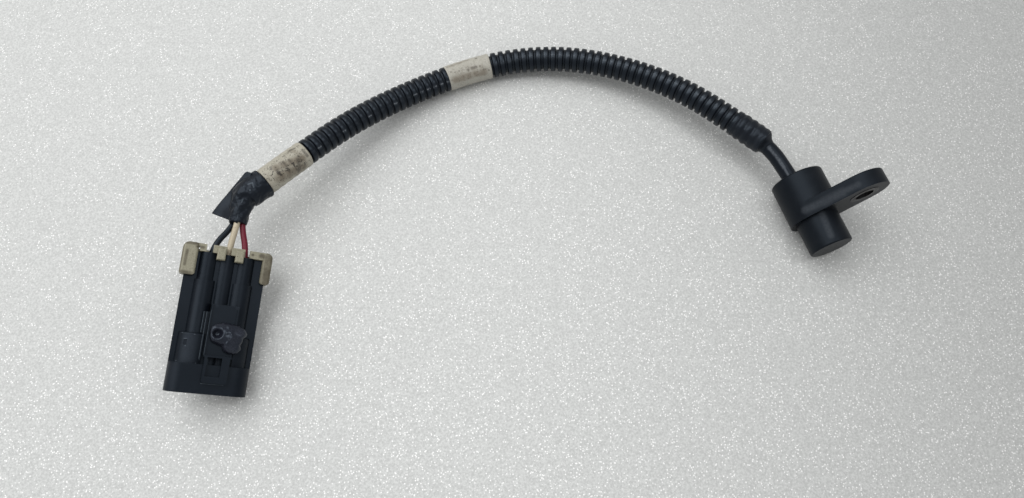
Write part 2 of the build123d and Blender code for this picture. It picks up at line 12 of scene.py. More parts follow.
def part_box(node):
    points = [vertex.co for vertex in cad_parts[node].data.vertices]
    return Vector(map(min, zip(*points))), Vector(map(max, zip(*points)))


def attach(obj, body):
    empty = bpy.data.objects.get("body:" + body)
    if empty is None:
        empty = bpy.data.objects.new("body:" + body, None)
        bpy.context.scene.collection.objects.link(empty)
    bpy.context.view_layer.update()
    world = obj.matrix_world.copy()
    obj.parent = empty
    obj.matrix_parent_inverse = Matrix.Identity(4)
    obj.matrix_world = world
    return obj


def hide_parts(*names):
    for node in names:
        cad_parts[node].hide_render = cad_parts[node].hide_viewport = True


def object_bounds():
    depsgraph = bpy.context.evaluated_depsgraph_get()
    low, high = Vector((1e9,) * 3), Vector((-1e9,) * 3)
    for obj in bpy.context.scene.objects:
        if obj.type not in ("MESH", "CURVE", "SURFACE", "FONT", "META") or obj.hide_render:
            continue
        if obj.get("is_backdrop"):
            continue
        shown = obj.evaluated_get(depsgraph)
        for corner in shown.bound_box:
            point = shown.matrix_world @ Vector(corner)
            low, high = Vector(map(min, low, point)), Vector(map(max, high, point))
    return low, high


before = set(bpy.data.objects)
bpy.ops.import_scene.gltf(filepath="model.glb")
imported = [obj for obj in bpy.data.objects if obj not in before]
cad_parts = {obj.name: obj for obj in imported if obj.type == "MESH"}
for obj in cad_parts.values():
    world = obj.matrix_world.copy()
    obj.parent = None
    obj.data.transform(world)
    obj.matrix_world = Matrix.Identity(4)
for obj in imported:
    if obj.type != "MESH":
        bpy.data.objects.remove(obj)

log = logging.getLogger("scene")

MM = 0.001
COOL = (0.70, 0.84, 1.0)

# Marks, in millimetres: a centre, then its end where the mark is a line, then its radius. Those of the
# lock and the plug are in the plug's own frame, the others in the row's frame.
MID_DOTS = (
    (-100.7, 110.8, 0.2, 0.85), (-112.5, 107.5, 0.8, 0.55), (-111.0, 107.0, 0.6, 0.50),
    (-109.2, 107.1, 0.5, 0.60), (-105.5, 106.5, 0.2, 0.90), (-103.7, 106.8, 0.3, -102.0, 106.8, 0.3, 1.00),
    (-100.3, 106.7, 0.2, 0.60), (-113.3, 110.7, 0.6, 0.80), (-111.2, 111.3, 0.2, 0.70),
    (-107.5, 111.9, -0.1, 0.70), (-97.2, 104.5, -1.1, 0.60),
)
# Grime and painted shade: a broad brown smear along the middle tape's lower side, and a narrower one near its
# top.
MID_SMEARS_AND_SHADE = ((-112.0, 104.8, -1.2, -99.0, 104.6, -1.6, 2.6), (-112.5, 110.5, 0.5, -104.0, 111.5, 0.0, 1.2))
REAR_STREAKS = (
    (-190.3, 82.3, 13.3, -190.0, 81.0, 13.4, 0.5), (-185.3, 83.1, 12.7, -184.0, 79.0, 10.5, 0.7),
    (-183.1, 83.5, 12.2, -181.0, 79.2, 8.0, 0.7), (-180.0, 83.1, 10.9, -181.4, 78.9, 6.6, 1.2),
    (-182.4, 87.4, 11.7, -179.9, 88.2, 11.4, 0.6), (-177.4, 86.5, 11.0, -176.4, 84.3, 9.8, 0.9),
    (-187.5, 84.5, 12.4, -186.4, 80.0, 12.0, 0.5), (-182.8, 86.6, 11.9, 0.7), (-188.3, 84.5, 12.9, 0.5),
    (-179.6, 84.6, 11.3, -177.9, 81.5, 7.6, 0.6),
)
# Grime and painted shade: a broad brown smear along the rear tape's lower side, and narrower ones over its
# top.
REAR_SMEARS_AND_SHADE = (
    (-187.7, 78.1, 11.3, -179.5, 81.1, 7.6, 4.0), (-188.6, 81.4, 13.2, -178.4, 83.6, 10.5, 2.6),
    (-178.0, 84.0, 10.0, -182.0, 87.5, 11.5, 1.6),
)
# Painted shade over the lock's right arm, with grime and painted shade along the left bracket's edges.
LOCK_SHADE_AND_GRIME = (
    (14.2, 50.5, 3.4, 14.0, 41.5, 3.4, 3.6), (11.2, 51.1, 2.9, 14.0, 50.6, 3.4, 1.6), (8.2, 51.0, 2.9, 0.9),
    (-15.7, 51.0, 3.0, -15.7, 42.0, 3.0, 1.3), (-15.2, 41.2, 3.2, -11.5, 41.2, 3.2, 1.2),
    (-15.0, 52.0, 3.2, -11.0, 52.0, 3.2, 1.3), (-13.9, 49.0, 3.6, -14.0, 44.0, 3.6, 1.0),
    (-11.0, 50.9, 3.0, -8.8, 50.9, 3.0, 1.0), (5.6, 51.3, 4.1, 0.9), (-2.2, 51.4, 4.3, 0.9),
)
# Painted sheen: lighter patches on the plug's left-facing barrels, end block and shroud.
PLUG_SHEEN = (
    (-8.6, 37.0, 4.2, -8.6, 21.5, 4.2, 1.8), (-8.0, 18.5, 4.2, -8.0, 12.0, 4.2, 3.6),
    (-10.5, 8.0, 2.5, -10.5, 2.0, 2.5, 4.2), (-1.2, 37.0, 6.0, -1.2, 31.0, 6.0, 1.2),
    (6.0, 37.0, 5.4, 6.0, 31.0, 5.4, 1.2),
)
# Painted highlights: bright lines along the plug's wing edge, guard ribs, latch edges and dimple rim.
PLUG_EDGE_HIGHLIGHTS = (
    (-14.0, 38.0, 1.0, -14.0, 12.0, 1.0, 0.28), (-13.9, 10.4, 1.2, -13.9, 0.5, 0.4, 0.28),
    (-5.05, 28.3, 4.7, -5.05, 21.2, 4.7, 0.20), (-4.1, 28.3, 4.7, -4.1, 12.0, 4.7, 0.18),
    (-2.85, 29.0, 5.9, -2.85, 13.5, 5.9, 0.18), (-11.5, 10.5, 2.6, -4.8, 10.3, 4.7, 0.22),
    (-10.9, 20.3, 3.0, -6.6, 20.1, 4.9, 0.20), (-10.0, 18.3, 3.9, -9.0, 18.3, 4.2, 0.28),
    (-9.1, 15.9, 4.2, 0.35), (-2.2, 3.6, 6.0, 5.2, 3.6, 6.0, 0.16),
)
# A painted highlight streak along the probe, then scuffs along the ear's rim.
SENSOR_SCUFFS_AND_SHEEN = (
    (-1.4, -0.8, 7.9, -2.1, -9.5, 7.7, 1.9), (-6.6, 2.8, 7.6, -0.8, 2.4, 12.1, 2.2),
    (-0.8, 2.4, 12.1, 5.0, 2.3, 16.6, 2.6), (5.0, 2.3, 16.6, 9.5, 2.2, 19.8, 1.8),
)
# Painted highlight: a bright streak along the sensor cable's top.
CABLE_SHEEN = (
    (-7.7, 34.0, 7.3, -6.9, 31.3, 5.7, 1.2), (-6.9, 31.3, 5.7, -5.2, 26.2, 4.8, 0.9),
    (-5.2, 26.2, 4.8, -4.4, 22.4, 4.1, 1.0), (-4.4, 22.4, 4.1, -3.9, 19.2, 3.5, 0.7),
)
# Painted highlights: bright crease lines and a knot ring on the plug-end tape.
NECK_HIGHLIGHTS = (
    (-202.6, 72.7, 13.5, -205.2, 69.4, 12.6, 0.30), (-205.2, 69.4, 12.6, -206.4, 66.7, 12.1, 0.30),
    (-199.3, 77.4, 14.6, -197.8, 77.4, 14.5, 0.45), (-197.8, 77.4, 14.5, -197.7, 75.8, 14.3, 0.45),
    (-199.2, 74.9, 14.4, 0.5), (-200.8, 77.0, 14.8, -202.9, 75.1, 14.1, 0.25),
)

Point = tuple[float, float, float]
Colour = tuple[float, float, float]
Profile = tuple[tuple[float, float], ...]
Term = Union["Sock", float, Sequence[float]]
Settings = dict[str, str]
Inputs = dict[Union[int, str], Term]


class Sock:
    """A node's output that takes part in arithmetic, where each operation adds its Math node."""

    def __init__(self, graph: "Graph", socket: Union[bpy.types.NodeSocket, None]) -> None:
        """Wraps a socket.

        Args:
            graph: The graph that new nodes go into.
            socket: The output to wrap.
        """
        self.graph = graph
        self.socket = socket

    def _join(self, operation: str, first: Term, second: Term) -> "Sock":
        """Adds a Math node.

        Args:
            operation: The node's operation.
            first: The upper input.
            second: The lower input.

        Returns:
            The node's output.
        """
        return self.graph.node("ShaderNodeMath", {"operation": operation}, {0: first, 1: second})

    def __add__(self, other: Term) -> "Sock":
        """Sum."""
        return self._join("ADD", self, other)

    def __radd__(self, other: Term) -> "Sock":
        """Sum, reflected."""
        return self._join("ADD", other, self)

    def __sub__(self, other: Term) -> "Sock":
        """Difference."""
        return self._join("SUBTRACT", self, other)

    def __rsub__(self, other: Term) -> "Sock":
        """Difference, reflected."""
        return self._join("SUBTRACT", other, self)

    def __mul__(self, other: Term) -> "Sock":
        """Product."""
        return self._join("MULTIPLY", self, other)

    def __rmul__(self, other: Term) -> "Sock":
        """Product, reflected."""
        return self._join("MULTIPLY", other, self)

    def greatest(self, other: Term) -> "Sock":
        """Larger of two values."""
        return self._join("MAXIMUM", self, other)

    def least(self, other: Term) -> "Sock":
        """Smaller of two values."""
        return self._join("MINIMUM", self, other)

    def step(self, low: float, high: float) -> "Sock":
        """Smooth step.

        Args:
            low: Value at which the step is 0.
            high: Value at which the step is 1.

        Returns:
            The stepped value, from 0 to 1.
        """
        settings = {"interpolation_type": "SMOOTHSTEP"}
        inputs = {"Value": self, "From Min": min(low, high), "From Max": max(low, high)}
        rising = self.graph.node("ShaderNodeMapRange", settings, inputs)
        return rising if low < high else 1 - rising


class Graph:
    """A material's node tree and the means to fill it."""

    def __init__(self, name: str) -> None:
        """Starts an empty material.

        Args:
            name: The material's name.
        """
        self.material = bpy.data.materials.new(name)
        self.material.use_nodes = True
        self.tree = self.material.node_tree
        self.tree.nodes.clear()

    def node(self, kind: str, settings: Settings, inputs: Inputs, output: Union[int, str] = 0) -> Sock:
        """Adds one node.

        Args:
            kind: The node's type.
            settings: Properties to set before the sockets.
            inputs: Values or links, by socket name or number.
            output: Name or number of the output to return.

        Returns:
            The chosen output, empty for a node that has none.
        """
        made = self.tree.nodes.new(kind)
        for key, value in settings.items():
            setattr(made, key, value)
        for key, value in inputs.items():
            if isinstance(value, Sock):
                self.tree.links.new(value.socket, made.inputs[key])
            else:
                made.inputs[key].default_value = value
        return Sock(self, made.outputs[output] if made.outputs else None)

    def vectors(self, operation: str, first: Term, second: Term, output: str = "Vector") -> Sock:
        """Adds a Vector Math node.

        Args:
            operation: The node's operation.
            first: The upper vector.
            second: The lower vector.
            output: Name of the output to return.

        Returns:
            The node's output.
        """
        return self.node("ShaderNodeVectorMath", {"operation": operation}, {0: first, 1: second}, output)

    def place(self) -> Sock:
        """Position on the object, in metres."""
        return self.node("ShaderNodeTexCoord", {}, {}, "Object")

    def local(self, matrix: Matrix) -> Sock:
        """Position in a sub-part's own frame.

        Args:
            matrix: Place of that frame in the row's frame.

        Returns:
            The position, in metres.
        """
        turn = matrix.to_euler("XYZ")
        inputs = {"Vector": self.place(), "Location": matrix.to_translation(), "Rotation": turn}
        return self.node("ShaderNodeMapping", {"vector_type": "TEXTURE"}, inputs)

    def axis(self, vector: Sock, index: int) -> Sock:
        """One component of a vector."""
        return self.node("ShaderNodeSeparateXYZ", {}, {0: vector}, index)

    def stretch(self, vector: Sock, factors: Point) -> Sock:
        """Vector multiplied component by component."""
        return self.vectors("MULTIPLY", vector, factors)

    def distance(self, vector: Sock, point: Point) -> Sock:
        """Distance from a fixed point."""
        return self.vectors("DISTANCE", vector, point, "Value")

    def attribute(self, name: str) -> Sock:
        """A number stored on the mesh."""
        return self.node("ShaderNodeAttribute", {"attribute_name": name}, {}, "Fac")

    def cloud(self, vector: Sock, size: float, detail: float = 3.0, rough: float = 0.55) -> Sock:
        """Soft noise.

        Args:
            vector: Where to read it.
            size: Size of its features, in metres.
            detail: Number of finer layers.
            rough: Strength of the finer layers.

        Returns:
            The noise, about 0.5 in the middle.
        """
        inputs = {"Vector": vector, "Scale": 1 / size, "Detail": detail, "Roughness": rough}
        return self.node("ShaderNodeTexNoise", {}, inputs)

    def cells(self, vector: Sock, size: float) -> Sock:
        """Distance to the nearest of scattered points, in cell sizes."""
        return self.node("ShaderNodeTexVoronoi", {}, {"Vector": vector, "Scale": 1 / size}, "Distance")

    def blend(self, mask: Term, under: Term, over: Term) -> Sock:
        """Colour mixed by a mask.

        Args:
            mask: 0 shows the under colour, 1 the over colour.
            under: The first colour.
            over: The second colour.

        Returns:
            The mixed colour.
        """
        sockets = {0: mask, 6: paint(under), 7: paint(over)}
        return self.node("ShaderNodeMix", {"data_type": "RGBA"}, sockets, 2)

    def tinted(self, first: Term, second: Term) -> Sock:
        """Product of two colours."""
        sockets = {0: 1.0, 6: paint(first), 7: paint(second)}
        return self.node("ShaderNodeMix", {"data_type": "RGBA", "blend_type": "MULTIPLY"}, sockets, 2)

    def reach(self, vector: Sock, mark: "SurfaceMark") -> Sock:
        """Distance from a mark's line, or from its centre.

        Args:
            vector: Where to measure.
            mark: The mark.

        Returns:
            The distance, in metres.
        """
        if mark.end is None:
            return self.distance(vector, mark.centre)
        way = Vector(mark.end) - Vector(mark.centre)
        offset = self.vectors("SUBTRACT", vector, mark.centre)
        share = self.vectors("DOT_PRODUCT", offset, way / way.length_squared, "Value")
        share = share.greatest(0.0).least(1.0)
        along = self.node("ShaderNodeVectorMath", {"operation": "SCALE"}, {0: way, "Scale": share})
        return self.vectors("DISTANCE", offset, along, "Value")

    def bump(self, height: Sock, depth: float) -> Sock:
        """Bumped normal.

        Args:
            height: Height from 0 to 1.
            depth: Height of 1, in metres.

        Returns:
            The normal.
        """
        return self.node("ShaderNodeBump", {}, {"Height": height, "Distance": depth, "Strength": 1.0})

    def surface(self, **inputs: Term) -> bpy.types.Material:
        """Closes the material with its shader.

        Args:
            inputs: The shader's sockets, with an underscore for each space.

        Returns:
            The finished material.
        """
        sockets = {key.replace("_", " "): value for key, value in inputs.items()}
        if "Base Color" in sockets:
            sockets["Base Color"] = paint(sockets["Base Color"])
        shader = self.node("ShaderNodeBsdfPrincipled", {}, sockets)
        self.node("ShaderNodeOutputMaterial", {}, {"Surface": shader})
        return self.material


def paint(colour: Term) -> Term:
    """Gives a colour its alpha.

    Args:
        colour: A colour, or a link.

    Returns:
        The colour with its alpha, or the link unchanged.
    """
    if isinstance(colour, Sock) or len(colour) == 4:
        return colour
    return (*colour, 1.0)


@dataclass(frozen=True)
class SurfaceMark:
    """A patch of wear, dirt, painted highlight or painted shade, round or along a line."""

    centre: Point
    radius: float
    end: Union[Point, None] = None
    evenness: float = 0.0


def marks(rows: Iterable[Sequence[float]], evenness: float = 0.0) -> tuple[SurfaceMark, ...]:
    """Patches from figures in millimetres.

    Args:
        rows: Three figures for a centre and, for a line, three for its end, then the radius.
        evenness: From 0, broken up by the finish's noise, to 1, without a gap.

    Returns:
        The patches.
    """
    made = []
    for row in rows:
        values = [value * MM for value in row]
        end = tuple(values[3:6]) if len(values) > 4 else None
        made.append(SurfaceMark(tuple(values[:3]), values[-1], end, evenness))
    return tuple(made)


@dataclass(frozen=True)
class Moulded:
    """Moulded plastic or rubber with fine texture, dust, rubbed patches and painted highlights: lighter
    patches and bright lines.
    """

    name: str
    colour: Colour
    rub_and_sheen: Colour
    roughness: float = 0.5
    grain: float = 0.25 * MM
    grain_depth: float = 0.012 * MM
    dust: float = 0.3
    sheen_and_scuffs: tuple[SurfaceMark, ...] = ()
    specular: float = 0.5
    tint: Colour = (1.0, 1.0, 1.0)
    highlight_lines: tuple[SurfaceMark, ...] = ()
    highlight_line_colour: Colour = (0.10, 0.12, 0.14)

    def material(self) -> bpy.types.Material:
        """Builds the material.

        Returns:
            The finished material.
        """
        graph = Graph(self.name)
        place = graph.place()
        broad = graph.cloud(place, 6 * MM)
        fine = graph.cloud(place, 0.7 * MM, 4.0, 0.65)
        film = (broad * 0.6 + fine * 0.4).step(0.45, 0.72) * self.dust
        # Patches lighten toward the rub-and-sheen colour: some are rubbed plastic, the rest painted
        # highlights.
        for surface_mark in self.sheen_and_scuffs:
            near = graph.reach(place, surface_mark).step(surface_mark.radius, 0.15 * surface_mark.radius)
            broken = (fine * 0.7 + broad * 0.3).step(0.30, 0.66) * (1 - surface_mark.evenness) + surface_mark.evenness
            film = film.greatest(near * broken)
        colour = graph.blend(film, self.colour, self.rub_and_sheen)
        # Painted highlights: bright lines along edges and creases, in the highlight line colour.
        for edge in self.highlight_lines:
            near = graph.reach(place, edge).step(edge.radius, 0.3 * edge.radius)
            colour = graph.blend(near * (fine * 1.2 - 0.1).least(0.9), colour, self.highlight_line_colour)
        rough = fine * 0.18 + self.roughness - 0.09 + film * 0.12
        height = graph.cloud(place, self.grain, 2.0)
        return graph.surface(Base_Color=colour, Roughness=rough, Specular_IOR_Level=self.specular,
                             Specular_Tint=(*self.tint, 1.0), Normal=graph.bump(height, self.grain_depth))


@dataclass(frozen=True)
class Grimed:
    """Pale plastic or tape with brown grime that gathers in blotches and streaks, and smears that are partly
    painted shade.
    """

    name: str
    colour: Colour
    film_and_shade: Colour
    grime: Colour
    amount: float
    streak: Point = (1.0, 1.0, 1.0)
    blotch: float = 2.4 * MM
    roughness: float = 0.5
    bands: float = 0.0
    specks: float = 0.0
    turn: float = 0.0
    stains: tuple[SurfaceMark, ...] = ()
    smears_and_shade: tuple[SurfaceMark, ...] = ()

    def material(self) -> bpy.types.Material:
        """Builds the material.

        Returns:
            The finished material.
        """
        graph = Graph(self.name)
        place = graph.place()
        turned = graph.local(Matrix.Rotation(math.radians(self.turn), 4, "Z"))
        broad = graph.cloud(graph.stretch(turned, self.streak), self.blotch, 4.0, 0.6)
        fine = graph.cloud(place, 0.45 * MM, 3.0, 0.6)
        mix = broad * 0.7 + fine * 0.3
        spots = graph.cells(place, 1.7 * MM).step(0.16, 0.07) * broad.step(0.45, 0.6)
        film = fine.step(0.3, 0.7) * 0.35
        if self.bands > 0:
            sheen_and_grime = graph.attribute("sheen_and_grime")
            mix = mix + sheen_and_grime * (graph.attribute("groove") * self.bands + 0.10) - 0.09
            crumbs = graph.cloud(place, 0.9 * MM, 3.0, 0.7).step(0.56, 0.62) * self.specks
            spots = spots.greatest(crumbs * (sheen_and_grime * 0.7 + 0.3))
            film = film.greatest(sheen_and_grime * broad.step(0.36, 0.58) * 0.6)
        for stain in self.stains:
            near = graph.reach(place, stain).step(stain.radius, 0.3 * stain.radius)
            spots = spots.greatest(near * fine * 1.25)
        # Smears darken toward the film-and-shade colour: grime, and painted shade.
        for smear in self.smears_and_shade:
            near = graph.reach(place, smear).step(smear.radius, 0.2 * smear.radius)
            film = film.greatest(near * (mix.step(0.30, 0.60) * 0.4 + 0.55))
        film_and_shade = graph.blend(film, self.colour, self.film_and_shade)
        soiled = mix.step(0.62 - self.amount, 0.74 - self.amount * 0.6)
        colour = graph.blend((soiled.greatest(spots) * 0.88).least(0.95), film_and_shade, self.grime)
        rough = fine * 0.2 + self.roughness - 0.1
        height = fine * 0.6 + broad * 0.4
        return graph.surface(Base_Color=colour, Roughness=rough, Normal=graph.bump(height, 0.02 * MM))


@dataclass(frozen=True)
class Metal:
    """Plated or bare metal with brushed marks and tarnish."""

    name: str
    colour: Colour
    tarnish: Colour
    roughness: float = 0.35

    def material(self) -> bpy.types.Material:
        """Builds the material.

        Returns:
            The finished material.
        """
        graph = Graph(self.name)
        place = graph.place()
        blotch = graph.cloud(place, 2.0 * MM, 4.0, 0.6)
        brushed = graph.cloud(graph.stretch(place, (1.0, 12.0, 1.0)), 0.8 * MM, 2.0)
        colour = graph.blend(blotch.step(0.42, 0.66), self.colour, self.tarnish)
        rough = blotch * 0.25 + self.roughness - 0.12
        return graph.surface(Base_Color=colour, Metallic=0.9, Roughness=rough,
                             Normal=graph.bump(brushed, 0.006 * MM))


@dataclass(frozen=True)
class Corrugated:
    """Black conduit plastic: glossy crests, dusty grooves, painted sheen along the crests' tops, partly rubbed
    plastic, and painted glints.
    """

    name: str
    colour: Colour
    dust: Colour
    rub_and_sheen: Colour
    painted_glints: Colour
    roughness: float

    def material(self) -> bpy.types.Material:
        """Builds the material.

        Returns:
            The finished material.
        """
        graph = Graph(self.name)
        place = graph.place()
        groove = graph.attribute("groove")
        broad = graph.cloud(place, 9 * MM, 2.0)
        fine = graph.cloud(place, 0.6 * MM, 4.0, 0.65)
        film = (fine * 0.5 + broad * 0.5).step(0.45, 0.68)
        dusty = film * (groove * 0.25 + 0.12)
        # Painted sheen along the crests' tops, partly rubbed plastic; past 1 the mask gives painted glints.
        sheen_and_grime = graph.attribute("sheen_and_grime") * (1 - groove)
        rub_and_sheen = sheen_and_grime * (fine.step(0.36, 0.62) * 0.75 + 0.2)
        colour = graph.blend(dusty, self.colour, self.dust)
        colour = graph.blend(rub_and_sheen.least(1.0), colour, self.rub_and_sheen)
        colour = graph.blend((sheen_and_grime - 1.0).greatest(0.0) * fine.step(0.42, 0.55), colour, self.painted_glints)
        rough = fine * 0.22 + groove * 0.15 + self.roughness - 0.11
        return graph.surface(Base_Color=colour, Roughness=rough, Specular_IOR_Level=0.35,
                             Specular_Tint=(*COOL, 1.0), Normal=graph.bump(fine, 0.03 * MM))


class Line:
    """Smooth line through a cord's control points, with frames along it."""

    def __init__(self, points: Sequence[Sequence[float]]) -> None:
        """Fits the NURBS spline and reads its points.

        Args:
            points: Control points, in metres.
        """
        self.control = [Vector(point) for point in points]
        reader = bpy.data.objects.new("line_reader", self.curve("line_reader"))
        bpy.context.scene.collection.objects.link(reader)
        bpy.context.view_layer.update()
        mesh = bpy.data.meshes.new_from_object(reader)
        self.points = [vertex.co.copy() for vertex in mesh.vertices]
        bpy.data.objects.remove(reader)
        bpy.data.meshes.remove(mesh)
        self.stations = [0.0]
        for before, after in zip(self.points, self.points[1:]):
            self.stations.append(self.stations[-1] + (after - before).length)
        self.length = self.stations[-1]

    def curve(self, name: str) -> bpy.types.Curve:
        """The NURBS curve itself.

        Args:
            name: The curve's name.

        Returns:
            A curve of one open spline.
        """
        curve = bpy.data.curves.new(name, "CURVE")
        curve.dimensions = "3D"
        curve.resolution_u = 24
        spline = curve.splines.new("NURBS")
        spline.points.add(len(self.control) - 1)
        for slot, point in zip(spline.points, self.control):
            slot.co = (*point, 1.0)
        spline.order_u = 3
        spline.use_endpoint_u = True
        return curve

    def at(self, station: float) -> Vector:
        """Point at a distance along the line, which runs on straight past its ends.

        Args:
            station: The distance from the line's start, in metres.

        Returns:
            The point.
        """
        if station <= 0:
            start, after = self.points[0], self.points[1]
            return start + (start - after).normalized() * -station
        if station >= self.length:
            end, before = self.points[-1], self.points[-2]
            return end + (end - before).normalized() * (station - self.length)
        low, high = 0, len(self.stations) - 1
        while high - low > 1:
            middle = (low + high) // 2
            if self.stations[middle] <= station:
                low = middle
            else:
                high = middle
        share = (station - self.stations[low]) / (self.stations[high] - self.stations[low])
        return self.points[low].lerp(self.points[high], share)

    def frame(self, station: float) -> tuple[Vector, Vector, Vector]:
        """Frame across the line.

        Args:
            station: The distance from the line's start, in metres.

        Returns:
            The centre and two unit vectors across, to the side and upward.
        """
        step = 0.4 * MM
        along = (self.at(station + step) - self.at(station - step)).normalized()
        side = along.cross(Vector((0, 0, 1))).normalized()
        return self.at(station), side, side.cross(along)

    def nearest(self, point: Vector) -> float:
        """Station of the line's point nearest to a point."""
        index = min(range(len(self.points)), key=lambda i: (self.points[i] - point).length)
        return self.stations[index]


@dataclass
class Solid:
    """A mesh under construction, as rings of points that follow each other."""

    rings: list[list[Vector]] = field(default_factory=list)
    groove: list[float] = field(default_factory=list)
    sheen_and_grime: list[list[float]] = field(default_factory=list)

    def add(self, ring: list[Vector], groove: float = 0.0, sheen_and_grime: Union[list[float], None] = None) -> None:
        """Adds a ring.

        Args:
            ring: Its points, as many as in every other ring.
            groove: A number that its points carry, for the finish.
            sheen_and_grime: A second number for each point.
        """
        self.rings.append(ring)
        self.groove.append(groove)
        self.sheen_and_grime.append(sheen_and_grime or [0.0] * len(ring))

    def build(self, name: str, looped: bool = False) -> bpy.types.Object:
        """Joins the rings into a closed mesh.

        Args:
            name: The piece's name.
            looped: Whether the last ring joins the first, as in a sleeve with a wall.

        Returns:
            The new object.
        """
        count = len(self.rings[0])
        vertices = [point for ring in self.rings for point in ring]
        pairs = list(zip(range(len(self.rings)), range(1, len(self.rings))))
        if looped:
            pairs.append((len(self.rings) - 1, 0))
        faces = []
        for low, high in pairs:
            for i in range(count):
                after = (i + 1) % count
                faces.append([low * count + i, low * count + after, high * count + after, high * count + i])
        if not looped:
            faces.append(list(reversed(range(count))))
            faces.append([(len(self.rings) - 1) * count + i for i in range(count)])
        mesh = bpy.data.meshes.new(name)
        mesh.from_pydata(vertices, [], faces)
        stored = mesh.attributes.new("groove", "FLOAT", "POINT")
        stored.data.foreach_set("value", [value for value in self.groove for _ in range(count)])
        sheen_and_grime_amount = mesh.attributes.new("sheen_and_grime", "FLOAT", "POINT")
        sheen_and_grime_amount.data.foreach_set("value", [value for ring in self.sheen_and_grime for value in ring])
        return link(name, mesh)


def link(name: str, data: Union[bpy.types.Mesh, bpy.types.Curve]) -> bpy.types.Object:
    """Puts a mesh or a curve into the scene, with smooth shading.

    Args:
        name: The piece's name.
        data: Its mesh or curve.

    Returns:
        The new object.
    """
    piece = bpy.data.objects.new(name, data)
    bpy.context.scene.collection.objects.link(piece)
    if isinstance(data, bpy.types.Mesh):
        data.validate()
        data.shade_smooth()
    return piece


def dress(piece: bpy.types.Object, material: bpy.types.Material) -> None:
    """Gives a piece one material.

    Args:
        piece: The piece.
        material: Its material, in every slot that it has.
    """
    slots = piece.material_slots
    if slots:
        for slot in slots:
            slot.material = material
    else:
        piece.data.materials.append(material)


def dress_nodes(finishes: dict[str, Union[Moulded, Grimed, Metal]]) -> None:
    """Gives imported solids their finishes.

    Args:
        finishes: A finish for each node's name.
    """
    for node, finish in finishes.items():
        dress(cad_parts[node], finish.material())
        log.info("dressed %s", node)


def settle(piece: bpy.types.Object, material: bpy.types.Material, slot: str, *nodes: str) -> None:
    """Finishes a modelled piece.

    Args:
        piece: The piece.
        material: Its material.
        slot: The record's slot; not used.
        nodes: The solids that it stands for.
    """
    dress(piece, material)
    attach(piece, "root")
    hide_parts(*nodes)
    log.info("modelled %s", piece.name)


def carve(piece: bpy.types.Object, voxel: float, smooth: int) -> None:
    """Fuses a piece's shells into one skin.

    Args:
        piece: The piece.
        voxel: Size of the remesh, in metres.
        smooth: Number of smoothing passes.
    """
    remesh = piece.modifiers.new("fuse", "REMESH")
    remesh.mode = "VOXEL"
    remesh.voxel_size = voxel
    soften = piece.modifiers.new("soften", "SMOOTH")
    soften.factor = 0.5
    soften.iterations = smooth
    graph = bpy.context.evaluated_depsgraph_get()
    mesh = bpy.data.meshes.new_from_object(piece.evaluated_get(graph))
    piece.modifiers.clear()
    piece.data = mesh
    mesh.shade_smooth()


def ripple(point: Vector, size: float) -> float:
    """Steady noise from -1 to 1 at a point, with features of a size in metres."""
    return noise.noise(point / size)


def bell(value: float, centre: float, spread: float) -> float:
    """Soft peak, 1 at its centre."""
    return math.exp(-((value - centre) / spread) ** 2)


def walk(shape: Profile, density: float) -> Iterator[tuple[float, float]]:
    """Walks along a profile in even steps.

    Args:
        shape: Stations with their radii.
        density: Number of steps for each unit of length.

    Yields:
        Each step's station and radius.
    """
    for (before, first), (after, second) in zip(shape, shape[1:]):
        steps = max(1, int(abs(after - before) * density))
        for index in range(steps):
            share = index / steps
            yield before + (after - before) * share, first + (second - first) * share


def along_corners(points: Sequence[Vector], share: float) -> Vector:
    """Point at a share of a broken line's length.

    Args:
        points: Its corners.
        share: From 0 at the first corner to 1 at the last.

    Returns:
        The point.
    """
    lengths = [(b - a).length for a, b in zip(points, points[1:])]
    left = share * sum(lengths)
    for before, after, length in zip(points, points[1:], lengths):
        if left <= length:
            return before.lerp(after, left / length)
        left -= length
    return points[-1]


@dataclass(frozen=True)
class SheenAndGrime:
    """Stretch round the lead, with its middle and spread in degrees: painted sheen on the conduit, grime on a
    tape.
    """

    turn: float
    spread: float
    strength: float

    def at(self, angle: float) -> float:
        """Strength at an angle in radians."""
        return self.strength * bell(math.degrees(angle), self.turn, self.spread)


